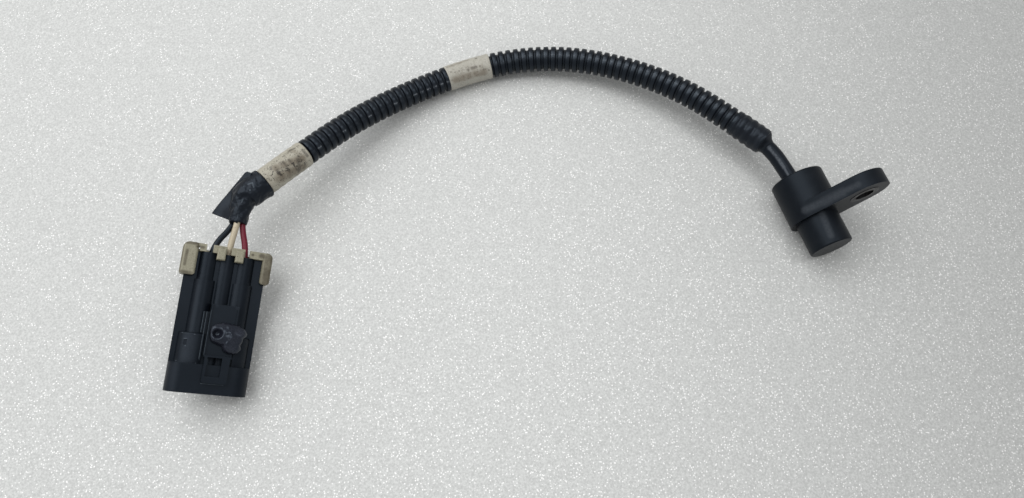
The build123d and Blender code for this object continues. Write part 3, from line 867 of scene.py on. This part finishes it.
@dataclass
class Lead:
    """Cable, conduit, tapes and wires."""

    conduit_route: tuple[Point, ...] = (
        (-0.0067, 0.0352, 0.0035), (-0.0149, 0.0495, 0.0030), (-0.0251, 0.0661, 0.0018),
        (-0.0376, 0.0805, 0.0002), (-0.0524, 0.0928, -0.0014), (-0.0688, 0.1022, -0.0030),
        (-0.0869, 0.1077, -0.0043), (-0.1043, 0.1090, -0.00475), (-0.1220, 0.1075, -0.0040),
        (-0.1420, 0.1031, -0.0014), (-0.1600, 0.0968, 0.0020), (-0.1781, 0.0876, 0.0060),
        (-0.1899, 0.0816, 0.0082), (-0.2010, 0.0761, 0.0095),
    )
    cable_route: tuple[Point, ...] = (
        (-0.0010, 0.0093, 0.0001), (-0.0025, 0.0205, 0.0009), (-0.0052, 0.0321, 0.00315),
        (-0.0104, 0.0426, 0.0033),
    )
    neck_bend: Point = (-0.2047, 0.0723, 0.0095)
    neck_exit: Point = (-0.2077, 0.0657, 0.0090)
    flag_edge: tuple[Point, ...] = (
        (-0.1969, 0.0817, 0.0138), (-0.1991, 0.0836, 0.0130), (-0.2159, 0.0735, 0.0084),
        (-0.2070, 0.0649, 0.0116),
    )
    flag_root: tuple[Point, ...] = (
        (-0.1969, 0.0817, 0.0138), (-0.2033, 0.0778, 0.0120), (-0.2030, 0.0731, 0.0124),
        (-0.2058, 0.0696, 0.0117), (-0.2070, 0.0649, 0.0116),
    )
    cable_length: float = 36.5 * MM
    cable_radius: float = 3.0 * MM
    wire_radius: float = 1.1 * MM
    wire_end_gap: float = 0.5 * MM
    bundle: Profile = ((1.3 * MM, -0.75 * MM), (-0.5 * MM, 1.5 * MM), (-1.3 * MM, -0.75 * MM))
    crest: float = 5.0 * MM
    groove: float = 3.9 * MM
    pitch: float = 3.1 * MM
    sides: int = 56
    # Stations where the stretches of painted sheen and painted glints along the conduit's top end, and those
    # stretches; the sheen stands partly for rubbed crest tops.
    wide_end: float = 110 * MM
    narrow_end: float = 121 * MM
    glint_end: float = 158 * MM
    wide_sheen: SheenAndGrime = SheenAndGrime(103, 14, 1.1)
    narrow_sheen: SheenAndGrime = SheenAndGrime(118, 7, 1.1)
    glint_sheen: SheenAndGrime = SheenAndGrime(136, 6, 1.5)
    faint_sheen: SheenAndGrime = SheenAndGrime(136, 6, 0.5)
    tape_grime: SheenAndGrime = SheenAndGrime(128, 42, 1.0)
    tape_width: float = 19.0 * MM
    tape_stations: int = 64
    tape_thickness: float = 0.20 * MM
    tape_lap: float = 0.12 * MM
    tape_dip: float = 0.10 * MM
    tape_edge: float = 0.12 * MM
    tape_sink: float = 0.15 * MM
    # Where the tape's overlapped end starts round the conduit and how far it runs, in radians.
    tape_seam: float = 0.9
    tape_overlap: float = 1.9
    mid_tape_shift: float = 1.0 * MM
    wrap_ridge: float = 0.60 * MM
    wrap_fold: float = 0.12 * MM
    mouth_fold: float = 0.22 * MM
    wrap_crease: float = 0.16 * MM
    neck_length: float = 7.3 * MM
    neck_shoulder: float = 1.8 * MM
    neck_voxel: float = 0.18 * MM
    flag_grid: int = 28
    flag_wave: float = 0.35 * MM
    flag_half: float = 0.3 * MM
    # Shares of a pitch, with depths from 0 on a crest, whose middle domes a little, to 1 in a groove.
    folds: Profile = (
        (0.0, 0.22), (0.025, 0.05), (0.07, 0.0), (0.30, -0.02), (0.53, 0.0), (0.575, 0.05),
        (0.60, 0.22), (0.64, 0.85), (0.69, 1.0), (0.91, 1.0), (0.96, 0.85),
    )
    # Millimetres from the conduit's end, with radii in millimetres.
    sensor_wrap_shape: Profile = (
        (13.0, 4.8), (13.0, 5.15), (12.7, 5.3), (2.5, 5.25), (1.0, 5.1), (0.2, 4.8), (-0.4, 4.35),
        (-0.9, 3.8), (-1.4, 3.4), (-2.2, 3.15), (-2.4, 2.9), (0.0, 2.8), (0.0, 4.8),
    )
    # Shares of the neck's length, with radii in millimetres.
    neck_shape: Profile = (
        (0.0, 4.9), (0.0, 5.6), (0.04, 5.65), (0.12, 5.45), (0.40, 5.35), (0.46, 5.0), (0.52, 4.4),
        (0.68, 3.8), (1.0, 3.05),
    )

    def __post_init__(self) -> None:
        """Fits the lines that the pieces follow."""
        self.line = Line(self.conduit_route)
        self.cable_line = Line(self.cable_route)

    def angles(self) -> list[float]:
        """Angles of a ring's points, from the lead's outer side over its top."""
        return [math.tau * i / self.sides for i in range(self.sides)]

    def circle(self, station: float, radius: Callable[[float], float]) -> list[Vector]:
        """Ring round the conduit's line.

        Args:
            station: Distance along the line.
            radius: Radius for each angle.

        Returns:
            The ring's points.
        """
        centre, side, up = self.line.frame(station)
        return [centre + (side * math.cos(a) + up * math.sin(a)) * radius(a) for a in self.angles()]

    def conduit(self, tapes: Sequence[bpy.types.Object]) -> None:
        """Corrugated conduit along its whole line.

        Args:
            tapes: The tape pieces on it; not used.
        """
        drop = self.crest - self.groove
        solid = Solid()
        for number in range(int(self.line.length / self.pitch)):
            for share, depth in self.folds:
                station = (number + share) * self.pitch
                ring = self.circle(station, lambda a, d=depth: self.crest - d * drop)
                solid.add(ring, max(depth, 0.0), [self.sheen_and_grime_amount(station, angle) for angle in self.angles()])
        piece = solid.build("conduit_corrugated")
        finish = Corrugated("conduit", (0.003, 0.0042, 0.0068), dust=(0.022, 0.024, 0.027),
                            rub_and_sheen=(0.038, 0.044, 0.052), painted_glints=(0.40, 0.43, 0.46), roughness=0.32)
        settle(piece, finish.material(), "conduit_plastic", "corrugated_conduit")

    def sheen_and_grime_amount(self, station: float, angle: float) -> float:
        """How much painted sheen the conduit takes, partly for rubbed crest tops.

        Args:
            station: Distance along the line.
            angle: Angle round it, from its outer side over its top.

        Returns:
            0 where it has none, 1 on the painted sheen band along its top, over 1 on painted glints.
        """
        if station < self.wide_end:
            clear_of_tape = min(1.0, max(0.0, (station - 8 * MM) / (20 * MM)))
            return self.wide_sheen.at(angle) * clear_of_tape
        if station < self.narrow_end:
            return self.narrow_sheen.at(angle)
        glinting = station < self.glint_end or int(station / self.pitch) % 4 == 1
        return (self.glint_sheen if glinting else self.faint_sheen).at(angle)

    def cable(self) -> None:
        """Smooth sleeved cable between sensor and conduit.
        """
        curve = self.cable_line.curve("cable_sleeved")
        curve.bevel_depth = self.cable_radius
        curve.bevel_resolution = 8
        curve.use_fill_caps = True
        piece = link("cable_sleeved", curve)
        # Its patches are a painted highlight streak along the cable's top.
        finish = Moulded("cable_sleeve", (0.004, 0.005, 0.008), (0.10, 0.11, 0.125), roughness=0.40,
                         dust=0.04, sheen_and_scuffs=marks(CABLE_SHEEN, 0.25), specular=0.25, tint=COOL)
        settle(piece, finish.material(), "cable_sleeve", "sensor_cable")

    def band(self, node: str, name: str, finish: Grimed, slot: str, shift: float = 0.0) -> bpy.types.Object:
        """White tape wound round the conduit.

        Args:
            node: The solid that it stands for.
            name: The piece's name.
            finish: Its finish.
            slot: The record's slot.
            shift: How far it sits from the solid's middle, toward the plug.

        Returns:
            The new object.
        """
        low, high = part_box(node)
        middle = self.line.nearest((low + high) / 2)
        start = middle - self.tape_width / 2 + shift
        count = self.tape_stations

        def outer(station: float, angle: float) -> float:
            """Radius over the crests, with the tape's dips between them and its overlapped end."""
            lap = self.tape_lap if 0 < (angle - self.tape_seam) % math.tau < self.tape_overlap else 0.0
            return self.crest + self.tape_thickness + lap - self.tape_dip * self.sag(station)

        solid = Solid()
        for index in range(count + 1):
            share = index / count
            station = start + self.tape_width * share
            edge = self.tape_edge if index in (0, count) else 0.0
            ring = self.circle(station, lambda a, s=station, e=edge: outer(s, a) - e)
            solid.add(ring, 1 - self.sag(station), [self.soiled(share, angle) for angle in self.angles()])
        for end in (start + self.tape_width, start):
            solid.add(self.circle(end, lambda a: self.crest - self.tape_sink))
        piece = solid.build(name, looped=True)
        settle(piece, finish.material(), slot, node)
        return piece

    def soiled(self, share: float, angle: float) -> float:
        """How much grime a white tape takes, from 0 at its edge toward the sensor to 1 over its middle."""
        return self.tape_grime.at(angle) * min(1.0, 6 * share, 6 * (1 - share) + 0.3)

    def sag(self, station: float) -> float:
        """How deep the conduit's grooves lie under a station, from 0 on a crest to 1."""
        return 0.5 - 0.5 * math.cos(math.tau * (station / self.pitch - 0.30))

    def drawn_in(self, station: float) -> tuple[Vector, Vector, Vector]:
        """Frame of the sensor's tape, which passes from the conduit's line over to the cable's.

        Args:
            station: The distance from the conduit's end, in metres, below 0 on the cable.

        Returns:
            The centre and two unit vectors across.
        """
        on_conduit = self.line.frame(station)
        if station >= 0:
            return on_conduit
        on_cable = self.cable_line.frame(self.cable_line.nearest(self.line.points[0]) + station)
        share = min(1.0, -station / (1.5 * MM))
        centre, side, up = [a.lerp(b, share) for a, b in zip(on_conduit, on_cable)]
        return centre, side.normalized(), up.normalized()

    def sensor_wrap(self) -> bpy.types.Object:
        """Black tape over the conduit's sensor end, drawn in round the cable.

        Returns:
            The new object.
        """
        solid = Solid()
        for place, width in walk(self.sensor_wrap_shape, 4):
            station, radius = place * MM, width * MM
            fade = min(1.0, max(0.0, station - 1 * MM) / (3 * MM)) if radius > self.crest else 0.0
            ridged = self.wrap_ridge * fade * self.sag(station) ** 1.5
            fold = self.mouth_fold if station < 0.5 * MM else self.wrap_fold
            centre, side, up = self.drawn_in(station)
            ring = []
            for angle in self.angles():
                way = side * math.cos(angle) + up * math.sin(angle)
                spot = centre + way * radius
                bent = 0.6 + 0.8 * abs(ripple(spot, 3 * MM))
                crease = self.wrap_crease * abs(ripple(spot + up * 9 * MM, 1.1 * MM))
                ring.append(spot + way * (fold * ripple(spot, 2.4 * MM) - ridged * bent - crease))
            solid.add(ring)
        piece = solid.build("tape_sensor_end", looped=True)
        finish = Moulded("tape_black", (0.005, 0.006, 0.009), (0.030, 0.034, 0.042), roughness=0.38,
                         dust=0.25, specular=0.3, tint=COOL)
        settle(piece, finish.material(), "black_tape", "sensor_end_tape")
        return piece

    def neck_wrap(self) -> bpy.types.Object:
        """Black tape over the conduit's plug end, its twisted neck round the wires and its loose flag.

        Returns:
            The new object.
        """
        length = self.line.length
        end, bend, mouth = self.line.at(length), Vector(self.neck_bend), Vector(self.neck_exit)
        start = self.line.at(length - self.neck_length)
        shoulder = self.line.at(length + self.neck_shoulder)
        along = Line((start, self.line.at(length - 4 * MM), end, shoulder, bend, mouth))
        solid = Solid()
        for share, width in walk(self.neck_shape, 60):
            centre, side, up = along.frame(share * along.length)
            twist = min(1.0, max(0.0, (share - 0.3) * 5))
            ring = []
            for angle in self.angles():
                way = side * math.cos(angle) + up * math.sin(angle)
                spot = centre + way * width * MM
                pleat = abs(math.sin(2.5 * angle + 9 * share)) - 0.5
                crumple = 0.25 * ripple(spot, 2.0 * MM) + 0.18 * ripple(spot, 0.9 * MM)
                ring.append(spot + way * MM * (crumple + 0.35 * twist * pleat))
            solid.add(ring)
        piece = solid.build("tape_plug_end")
        self.add_flag(piece)
        carve(piece, self.neck_voxel, 1)
        # Its bright lines are painted highlights on the tape's creases and knot.
        finish = Moulded("tape_black_plug", (0.004, 0.005, 0.008), (0.022, 0.026, 0.032), roughness=0.36,
                         dust=0.25, specular=0.28, tint=COOL, highlight_lines=marks(NECK_HIGHLIGHTS))
        settle(piece, finish.material(), "black_tape", "connector_end_tape")
        return piece

    def add_flag(self, piece: bpy.types.Object) -> None:
        """Adds the flag's sheet to the neck's mesh.

        Args:
            piece: The neck.
        """
        grid = self.flag_grid
        edge = [Vector(point) for point in self.flag_edge]
        root = [Vector(point) for point in self.flag_root]
        normal = (edge[2] - edge[1]).cross(edge[3] - edge[1]).normalized()
        rows: list[list[Vector]] = []
        for i in range(grid + 1):
            inner, outer = along_corners(root, i / grid), along_corners(edge, i / grid)
            row = []
            for j in range(grid + 1):
                spot = inner.lerp(outer, j / grid)
                row.append(spot + normal * self.flag_wave * ripple(spot, 5 * MM))
            rows.append(row)
        half = normal * self.flag_half
        mesh = piece.data
        vertices = [vertex.co.copy() for vertex in mesh.vertices]
        faces = [list(polygon.vertices) for polygon in mesh.polygons]
        base = len(vertices)
        count = grid + 1
        vertices += [spot + half for row in rows for spot in row]
        vertices += [spot - half for row in rows for spot in row]
        back = base + count * count

        def cell(offset: int, i: int, j: int) -> int:
            """Number of a grid point."""
            return offset + i * count + j

        for i in range(grid):
            for j in range(grid):
                around = ((i, j), (i + 1, j), (i + 1, j + 1), (i, j + 1))
                quad = [cell(base, *corner) for corner in around]
                faces.append(quad)
                faces.append([index - base + back for index in reversed(quad)])
        border = [(0, j) for j in range(grid)] + [(i, grid) for i in range(grid)]
        border += [(grid, j) for j in range(grid, 0, -1)] + [(i, 0) for i in range(grid, 0, -1)]
        for here, there in zip(border, border[1:] + border[:1]):
            faces.append([cell(base, *here), cell(base, *there), cell(back, *there), cell(back, *here)])
        fresh = bpy.data.meshes.new(piece.name)
        fresh.from_pydata(vertices, [], faces)
        piece.data = fresh

    def offset(self, index: int, along: Vector) -> Vector:
        """Place of one wire in the bundle, across its direction of travel.

        Args:
            index: The wire's number.
            along: The direction of travel.

        Returns:
            The way from the bundle's middle.
        """
        side = along.cross(Vector((0, 0, 1))).normalized()
        up = side.cross(along).normalized()
        across, upward = self.bundle[index]
        return side * across + up * upward

    def wires(self, plug: "Plug") -> None:
        """The three wires, from the plug's barrels into the neck.

        Args:
            plug: The plug that they end in.
        """
        before, end = [Vector(point) for point in self.conduit_route[-2:]]
        bend, mouth = Vector(self.neck_bend), Vector(self.neck_exit)
        finishes = {
            "black": Moulded("wire_black", (0.003, 0.004, 0.006), (0.015, 0.017, 0.02), roughness=0.32,
                             dust=0.15, specular=0.3, tint=COOL),
            "white": Grimed("wire_white", (0.52, 0.46, 0.34), (0.30, 0.23, 0.15), (0.16, 0.115, 0.07),
                            amount=0.08, roughness=0.4),
            "red": Moulded("wire_red", (0.15, 0.006, 0.022), (0.09, 0.03, 0.03), roughness=0.32,
                           dust=0.3, specular=0.3),
        }
        for index, (name, finish) in enumerate(finishes.items()):
            across = (index - 1) * plug.pitch
            route = [plug.at(across, plug.crimp_end, 0)]
            route.append(plug.at(across, plug.crimp_end + plug.wire_run, 0))
            route.append(mouth + self.offset(index, mouth - bend))
            route.append(bend + self.offset(index, mouth - end))
            short = (end - before).normalized() * self.wire_end_gap
            route.append(end + short + self.offset(index, end - before))
            line = Line(route)
            curve = line.curve(f"lead_wire_{name}")
            curve.bevel_depth = self.wire_radius
            curve.bevel_resolution = 6
            curve.use_fill_caps = True
            piece = link(f"lead_wire_{name}", curve)
            settle(piece, finish.material(), f"wire_{name}", f"wire_{name}")
            plug.carried(name)

    def build(self, plug: "Plug") -> None:
        """Builds every piece of the lead.

        Args:
            plug: The plug that the wires end in.
        """
        mid = Grimed("tape_white_mid", (0.42, 0.41, 0.36), (0.22, 0.195, 0.155), (0.05, 0.038, 0.026),
                     amount=-0.10, streak=(1.2, 0.6, 1.0), bands=0.08, specks=0.5, turn=12.0,
                     stains=marks(MID_DOTS), smears_and_shade=marks(MID_SMEARS_AND_SHADE))
        rear = Grimed("tape_white_rear", (0.42, 0.40, 0.33), (0.17, 0.145, 0.105), (0.022, 0.018, 0.014),
                      amount=-0.02, streak=(1.5, 0.5, 1.0), blotch=3.0 * MM, bands=0.20, specks=1.2,
                      turn=27.0, stains=marks(REAR_STREAKS), smears_and_shade=marks(REAR_SMEARS_AND_SHADE))
        middle = self.band("white_tape_mid", "tape_band_mid", mid, "white_tape_clean", self.mid_tape_shift)
        last = self.band("white_tape_rear", "tape_band_rear", rear, "white_tape_scuffed")
        first = self.sensor_wrap()
        self.conduit([middle, last, self.neck_wrap()])
        self.cable()
        self.wires(plug)


@dataclass
class Sensor:
    """Sensor body with its bushing and inner pieces."""

    sheen_and_scuff_evenness: float = 0.5
    resin_grain: float = 1.5 * MM
    resin_depth: float = 0.05 * MM

    def build(self) -> None:
        """Dresses the sensor's solids."""
        # The probe's streak is a painted highlight; the ear's rim lines are scuffs.
        sheen_and_scuffs = marks(SENSOR_SCUFFS_AND_SHEEN, self.sheen_and_scuff_evenness)
        finishes = {
            "sensor_housing": Moulded("housing_plastic", (0.0030, 0.0040, 0.0060), (0.034, 0.038, 0.044),
                                      roughness=0.42, dust=0.10, sheen_and_scuffs=sheen_and_scuffs, specular=0.20, tint=COOL),
            "mounting_bushing": Metal("bushing_steel", (0.045, 0.046, 0.048), (0.014, 0.013, 0.012), 0.40),
            "chip_carrier": Moulded("carrier_plastic", (0.08, 0.08, 0.08), (0.12, 0.12, 0.12)),
            "hall_chip": Moulded("chip_epoxy", (0.02, 0.02, 0.02), (0.05, 0.05, 0.05)),
            "flux_plate": Metal("flux_steel", (0.50, 0.50, 0.49), (0.30, 0.28, 0.26)),
            "bias_magnet": Metal("magnet_alloy", (0.58, 0.57, 0.55), (0.40, 0.38, 0.35), 0.25),
            "circuit_board": Moulded("board_laminate", (0.02, 0.13, 0.05), (0.05, 0.20, 0.09), 0.4),
            "board_capacitors": Moulded("capacitor_ceramic", (0.38, 0.26, 0.15), (0.45, 0.35, 0.25)),
            "chip_leads": Metal("lead_metal", (0.66, 0.65, 0.62), (0.50, 0.48, 0.45), 0.3),
            "potting_fill": Moulded("potting_resin", (0.012, 0.012, 0.014), (0.04, 0.04, 0.04), 0.25,
                                    grain=self.resin_grain, grain_depth=self.resin_depth),
        }
        dress_nodes(finishes)


@dataclass
class Plug:
    """Plug with its lock, terminals, seals and retainer, in a frame of its own."""

    nose: Point = (-234.5 * MM, 10.95 * MM, -0.435 * MM)
    heading: float = -25.2
    tilt: float = 10.0
    roll: float = 26.0
    pitch: float = 6.2 * MM
    crimp_end: float = 42.5 * MM
    wire_run: float = 9.1 * MM
    button_place: tuple[float, float] = (4.5 * MM, 19.9 * MM)
    button_hole: tuple[float, float] = (0.5 * MM, 21.2 * MM)
    button_rim: float = 6.3 * MM
    button_rise: float = 2.9 * MM
    button_wall: float = 0.6 * MM
    button_crease: float = 0.9 * MM
    button_grain: float = 0.16 * MM
    button_dent: float = 2.2 * MM
    button_dent_radius: float = 1.9 * MM
    # Corners of the torn rim round its centre, in millimetres.
    button_outline: Profile = (
        (-6.3, 0.3), (-6.2, 3.5), (-3.2, 5.2), (-0.1, 5.1), (3.1, 4.5), (4.8, 3.7), (6.0, 1.8), (5.6, 1.2),
        (4.7, 0.4), (4.7, -0.8), (4.1, -2.1), (4.6, -3.1), (3.3, -5.1), (1.5, -5.3), (-0.9, -4.7),
        (-1.9, -2.8), (-3.9, -2.3), (-5.6, -1.5),
    )

    def __post_init__(self) -> None:
        """Works out the plug's frame."""
        turn = Matrix.Rotation(math.radians(self.heading), 4, "Z")
        turn @= Matrix.Rotation(math.radians(self.tilt), 4, "X")
        turn @= Matrix.Rotation(math.radians(self.roll), 4, "Y")
        self.matrix = Matrix.Translation(self.nose) @ turn

    def at(self, x: float, y: float, z: float) -> Vector:
        """Point of the plug's frame, in the row's frame."""
        return self.matrix @ Vector((x, y, z))

    def placed(self, mark: SurfaceMark) -> SurfaceMark:
        """A mark given in the plug's frame, moved into the row's frame."""
        end = None if mark.end is None else tuple(self.at(*mark.end))
        return SurfaceMark(tuple(self.at(*mark.centre)), mark.radius, end, mark.evenness)

    def carried(self, colour: str) -> list[bpy.types.Object]:
        """Pieces that hang on one wire.

        Args:
            colour: The wire's colour.

        Returns:
            Its terminal and seal, and for the middle wire the rest of the plug.
        """
        names = [f"terminal_{colour}", f"seal_{colour}"]
        if colour == "white":
            names += ["connector_housing", "terminal_lock"]
        held = [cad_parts[name] for name in names]
        if colour == "white":
            held.append(bpy.data.objects["retainer_head"])
        return held

    def button(self) -> None:
        """Crumpled, torn head of the retainer."""
        rings, sides = 26, 72
        around = [math.tau * i / sides for i in range(sides)]
        centre = Vector((*self.button_place, 0))
        hole = Vector((*self.button_hole, 0))
        outline = sorted((math.atan2(y, x) % math.tau, math.hypot(x, y) * MM) for x, y in self.button_outline)
        first, last = outline[0], outline[-1]
        outline = [(last[0] - math.tau, last[1]), *outline, (first[0] + math.tau, first[1])]

        def reach(angle: float) -> float:
            """Reach of the crumpled rim.

            Args:
                angle: The angle round the button, from 0 to a full turn.

            Returns:
                The rim's distance from the centre.
            """
            for (low, near), (high, far) in zip(outline, outline[1:]):
                if low <= angle <= high:
                    share = (angle - low) / (high - low)
                    return near + (far - near) * share
            return outline[0][1]

        def skin(share: float, angle: float, inner: bool) -> Vector:
            """A point of the crumpled dome.

            Args:
                share: From 0 at the dome's middle to 1 at its rim.
                angle: The angle round the button.
                inner: Whether the point lies on the inner skin.

            Returns:
                The point, in the plug's frame.
            """
            way = Vector((math.cos(angle), math.sin(angle), 0))
            spot = centre + way * reach(angle) * share
            height = self.button_rim + self.button_rise * math.sqrt(max(0.0, 1 - (share * 0.97) ** 2))
            crease = self.button_crease * abs(ripple(spot + Vector((0, 0, 3 * MM)), 4.2 * MM))
            crease += self.button_grain * ripple(spot, 1.3 * MM)
            share_in = max(0.0, 1 - (spot - hole).length / self.button_dent_radius)
            dent = self.button_dent * min(1.0, 1.6 * share_in)
            depth = self.button_wall if inner else 0.0
            return Vector((spot.x, spot.y, height - crease - depth - dent))

        solid = Solid()
        shares = [index / rings for index in (*range(rings, 0, -1), 0.5)]
        for share in shares:
            solid.add([skin(share, angle, False) for angle in around])
        for share in reversed(shares):
            solid.add([skin(share, angle, True) for angle in around])
        piece = solid.build("retainer_head", looped=True)
        piece.data.transform(self.matrix)
        finish = Moulded("retainer_plastic", (0.010, 0.011, 0.017), (0.040, 0.042, 0.056), roughness=0.24,
                         dust=0.5, grain_depth=0.03 * MM, specular=0.4, tint=COOL)
        settle(piece, finish.material(), "retainer_plastic", "retainer_button")

    def build(self) -> None:
        """Dresses the plug's solids and models its retainer."""
        # The lock's smears are painted shade on its right arm, and grime with painted shade along its edges.
        grime = tuple(self.placed(mark) for mark in marks(LOCK_SHADE_AND_GRIME))
        # The plug's line marks are painted highlights along its edges, and its sheen marks are painted sheen
        # on its left-facing faces.
        highlight_lines = tuple(self.placed(mark) for mark in marks(PLUG_EDGE_HIGHLIGHTS))
        sheen = tuple(self.placed(mark) for mark in marks(PLUG_SHEEN, 0.6))
        finishes = {
            "connector_housing": Moulded("plug_plastic", (0.0030, 0.0045, 0.0075), (0.018, 0.022, 0.029),
                                         roughness=0.40, dust=0.2, sheen_and_scuffs=sheen, specular=0.22, tint=COOL,
                                         highlight_lines=highlight_lines),
            "terminal_lock": Grimed("lock_plastic", (0.31, 0.295, 0.215), (0.070, 0.058, 0.034),
                                    (0.06, 0.047, 0.028), amount=0.02, blotch=3.0 * MM, smears_and_shade=grime),
        }
        terminal = Metal("terminal_metal", (0.62, 0.60, 0.56), (0.45, 0.42, 0.38), 0.3)
        seal = Moulded("seal_rubber", (0.10, 0.05, 0.035), (0.14, 0.09, 0.07), 0.6)
        for colour in ("black", "white", "red"):
            finishes[f"terminal_{colour}"] = terminal
            finishes[f"seal_{colour}"] = seal
        dress_nodes(finishes)
        self.button()


class View(Enum):
    """Camera figures, as they were fitted to the photograph."""

    PLACE = (-146.53 * MM, -67.09 * MM, 272.41 * MM)
    TURN = (20.0, 0.0, -19.107)
    LENS = (27.04,)


@dataclass(frozen=True)
class Lamp:
    """A round lamp that points at the object."""

    name: str
    way: Point
    size: float
    power: float


@dataclass
class Studio:
    """Bench, light and camera."""

    floor_colour: Colour = (0.600, 0.610, 0.600)
    floor_size: float = 6.0
    glint_colour: Colour = (0.98, 0.98, 0.97)
    glint_size: float = 1.1 * MM
    grain_size: float = 0.75 * MM
    shade: Colour = (0.66, 0.66, 0.66)
    falloff_way: tuple[float, float] = (0.945, 0.327)
    falloff_start: float = 0.117
    falloff: tuple[float, float] = (-0.03, 0.26)
    tones: tuple[float, float] = (1.12, 0.86)
    sky: float = 0.50
    target: Point = (-0.12, 0.05, 0.0)
    lamps: tuple[Lamp, ...] = (
        Lamp("key", (-0.50, 0.70, 1.5), 2.0, 24.0),
        Lamp("overhead", (0.50, -0.15, 1.1), 0.35, 1.9),
    )

    def floor(self) -> None:
        """Plain pale bench."""
        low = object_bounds()[0].z
        half = self.floor_size / 2
        mesh = bpy.data.meshes.new("bench")
        outline = [(-half, -half, low), (half, -half, low), (half, half, low), (-half, half, low)]
        mesh.from_pydata(outline, [], [(0, 1, 2, 3)])
        bench = link("bench", mesh)
        graph = Graph("bench_finish")
        place = graph.place()
        grain = graph.cloud(place, self.grain_size, 2.0, 0.7).step(0.30, 0.72)
        near = graph.axis(place, 1).step(0.10, -0.02)
        patches = graph.cloud(place, 4 * MM, 2.0) + near * 0.10
        glints = graph.cells(place, self.glint_size).step(0.32, 0.14) * patches.step(0.42, 0.60)
        right, back = self.falloff_way
        away = graph.axis(place, 0) * right - graph.axis(place, 1) * back + self.falloff_start
        far = away.step(*self.falloff)
        pale, dark = [tuple(value * tone for value in self.floor_colour) for tone in self.tones]
        shade = graph.blend(far, (1.0, 1.0, 1.0), self.shade)
        colour = graph.blend(glints, graph.blend(grain, dark, pale), self.glint_colour)
        colour = graph.tinted(colour, shade)
        dress(bench, graph.surface(Base_Color=colour, Roughness=0.75, Specular_IOR_Level=0.2))
        bench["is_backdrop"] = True

    def light(self) -> None:
        """Soft sky, one large lamp from the upper left and a small one overhead."""
        world = bpy.data.worlds.new("sky")
        world.use_nodes = True
        world.node_tree.nodes["Background"].inputs["Color"].default_value = (1, 1, 1, 1)
        world.node_tree.nodes["Background"].inputs["Strength"].default_value = self.sky
        bpy.context.scene.world = world
        target = Vector(self.target)
        for made in self.lamps:
            lamp = bpy.data.lights.new(made.name, "AREA")
            lamp.shape = "DISK"
            lamp.size = made.size
            lamp.energy = made.power
            body = bpy.data.objects.new(made.name, lamp)
            body.location = target + Vector(made.way)
            body.rotation_euler = (target - body.location).to_track_quat("-Z", "Y").to_euler()
            bpy.context.scene.collection.objects.link(body)

    def camera(self) -> None:
        """Camera where the photograph was taken."""
        data = bpy.data.cameras.new("camera")
        data.lens = View.LENS.value[0]
        camera = bpy.data.objects.new("camera", data)
        camera.location = View.PLACE.value
        camera.rotation_euler = Euler([math.radians(angle) for angle in View.TURN.value])
        bpy.context.scene.collection.objects.link(camera)
        bpy.context.scene.camera = camera

    def build(self) -> None:
        """Sets up the whole studio."""
        self.floor()
        self.light()
        self.camera()
        bpy.context.scene.view_settings.view_transform = "Standard"


def main() -> None:
    """Builds the object and its studio."""
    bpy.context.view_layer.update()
    Studio().build()
    plug = Plug()
    plug.build()
    Sensor().build()
    Lead().build(plug)


if __name__ == "__main__":
    logging.basicConfig(level=logging.INFO, format="%(message)s")
    main()
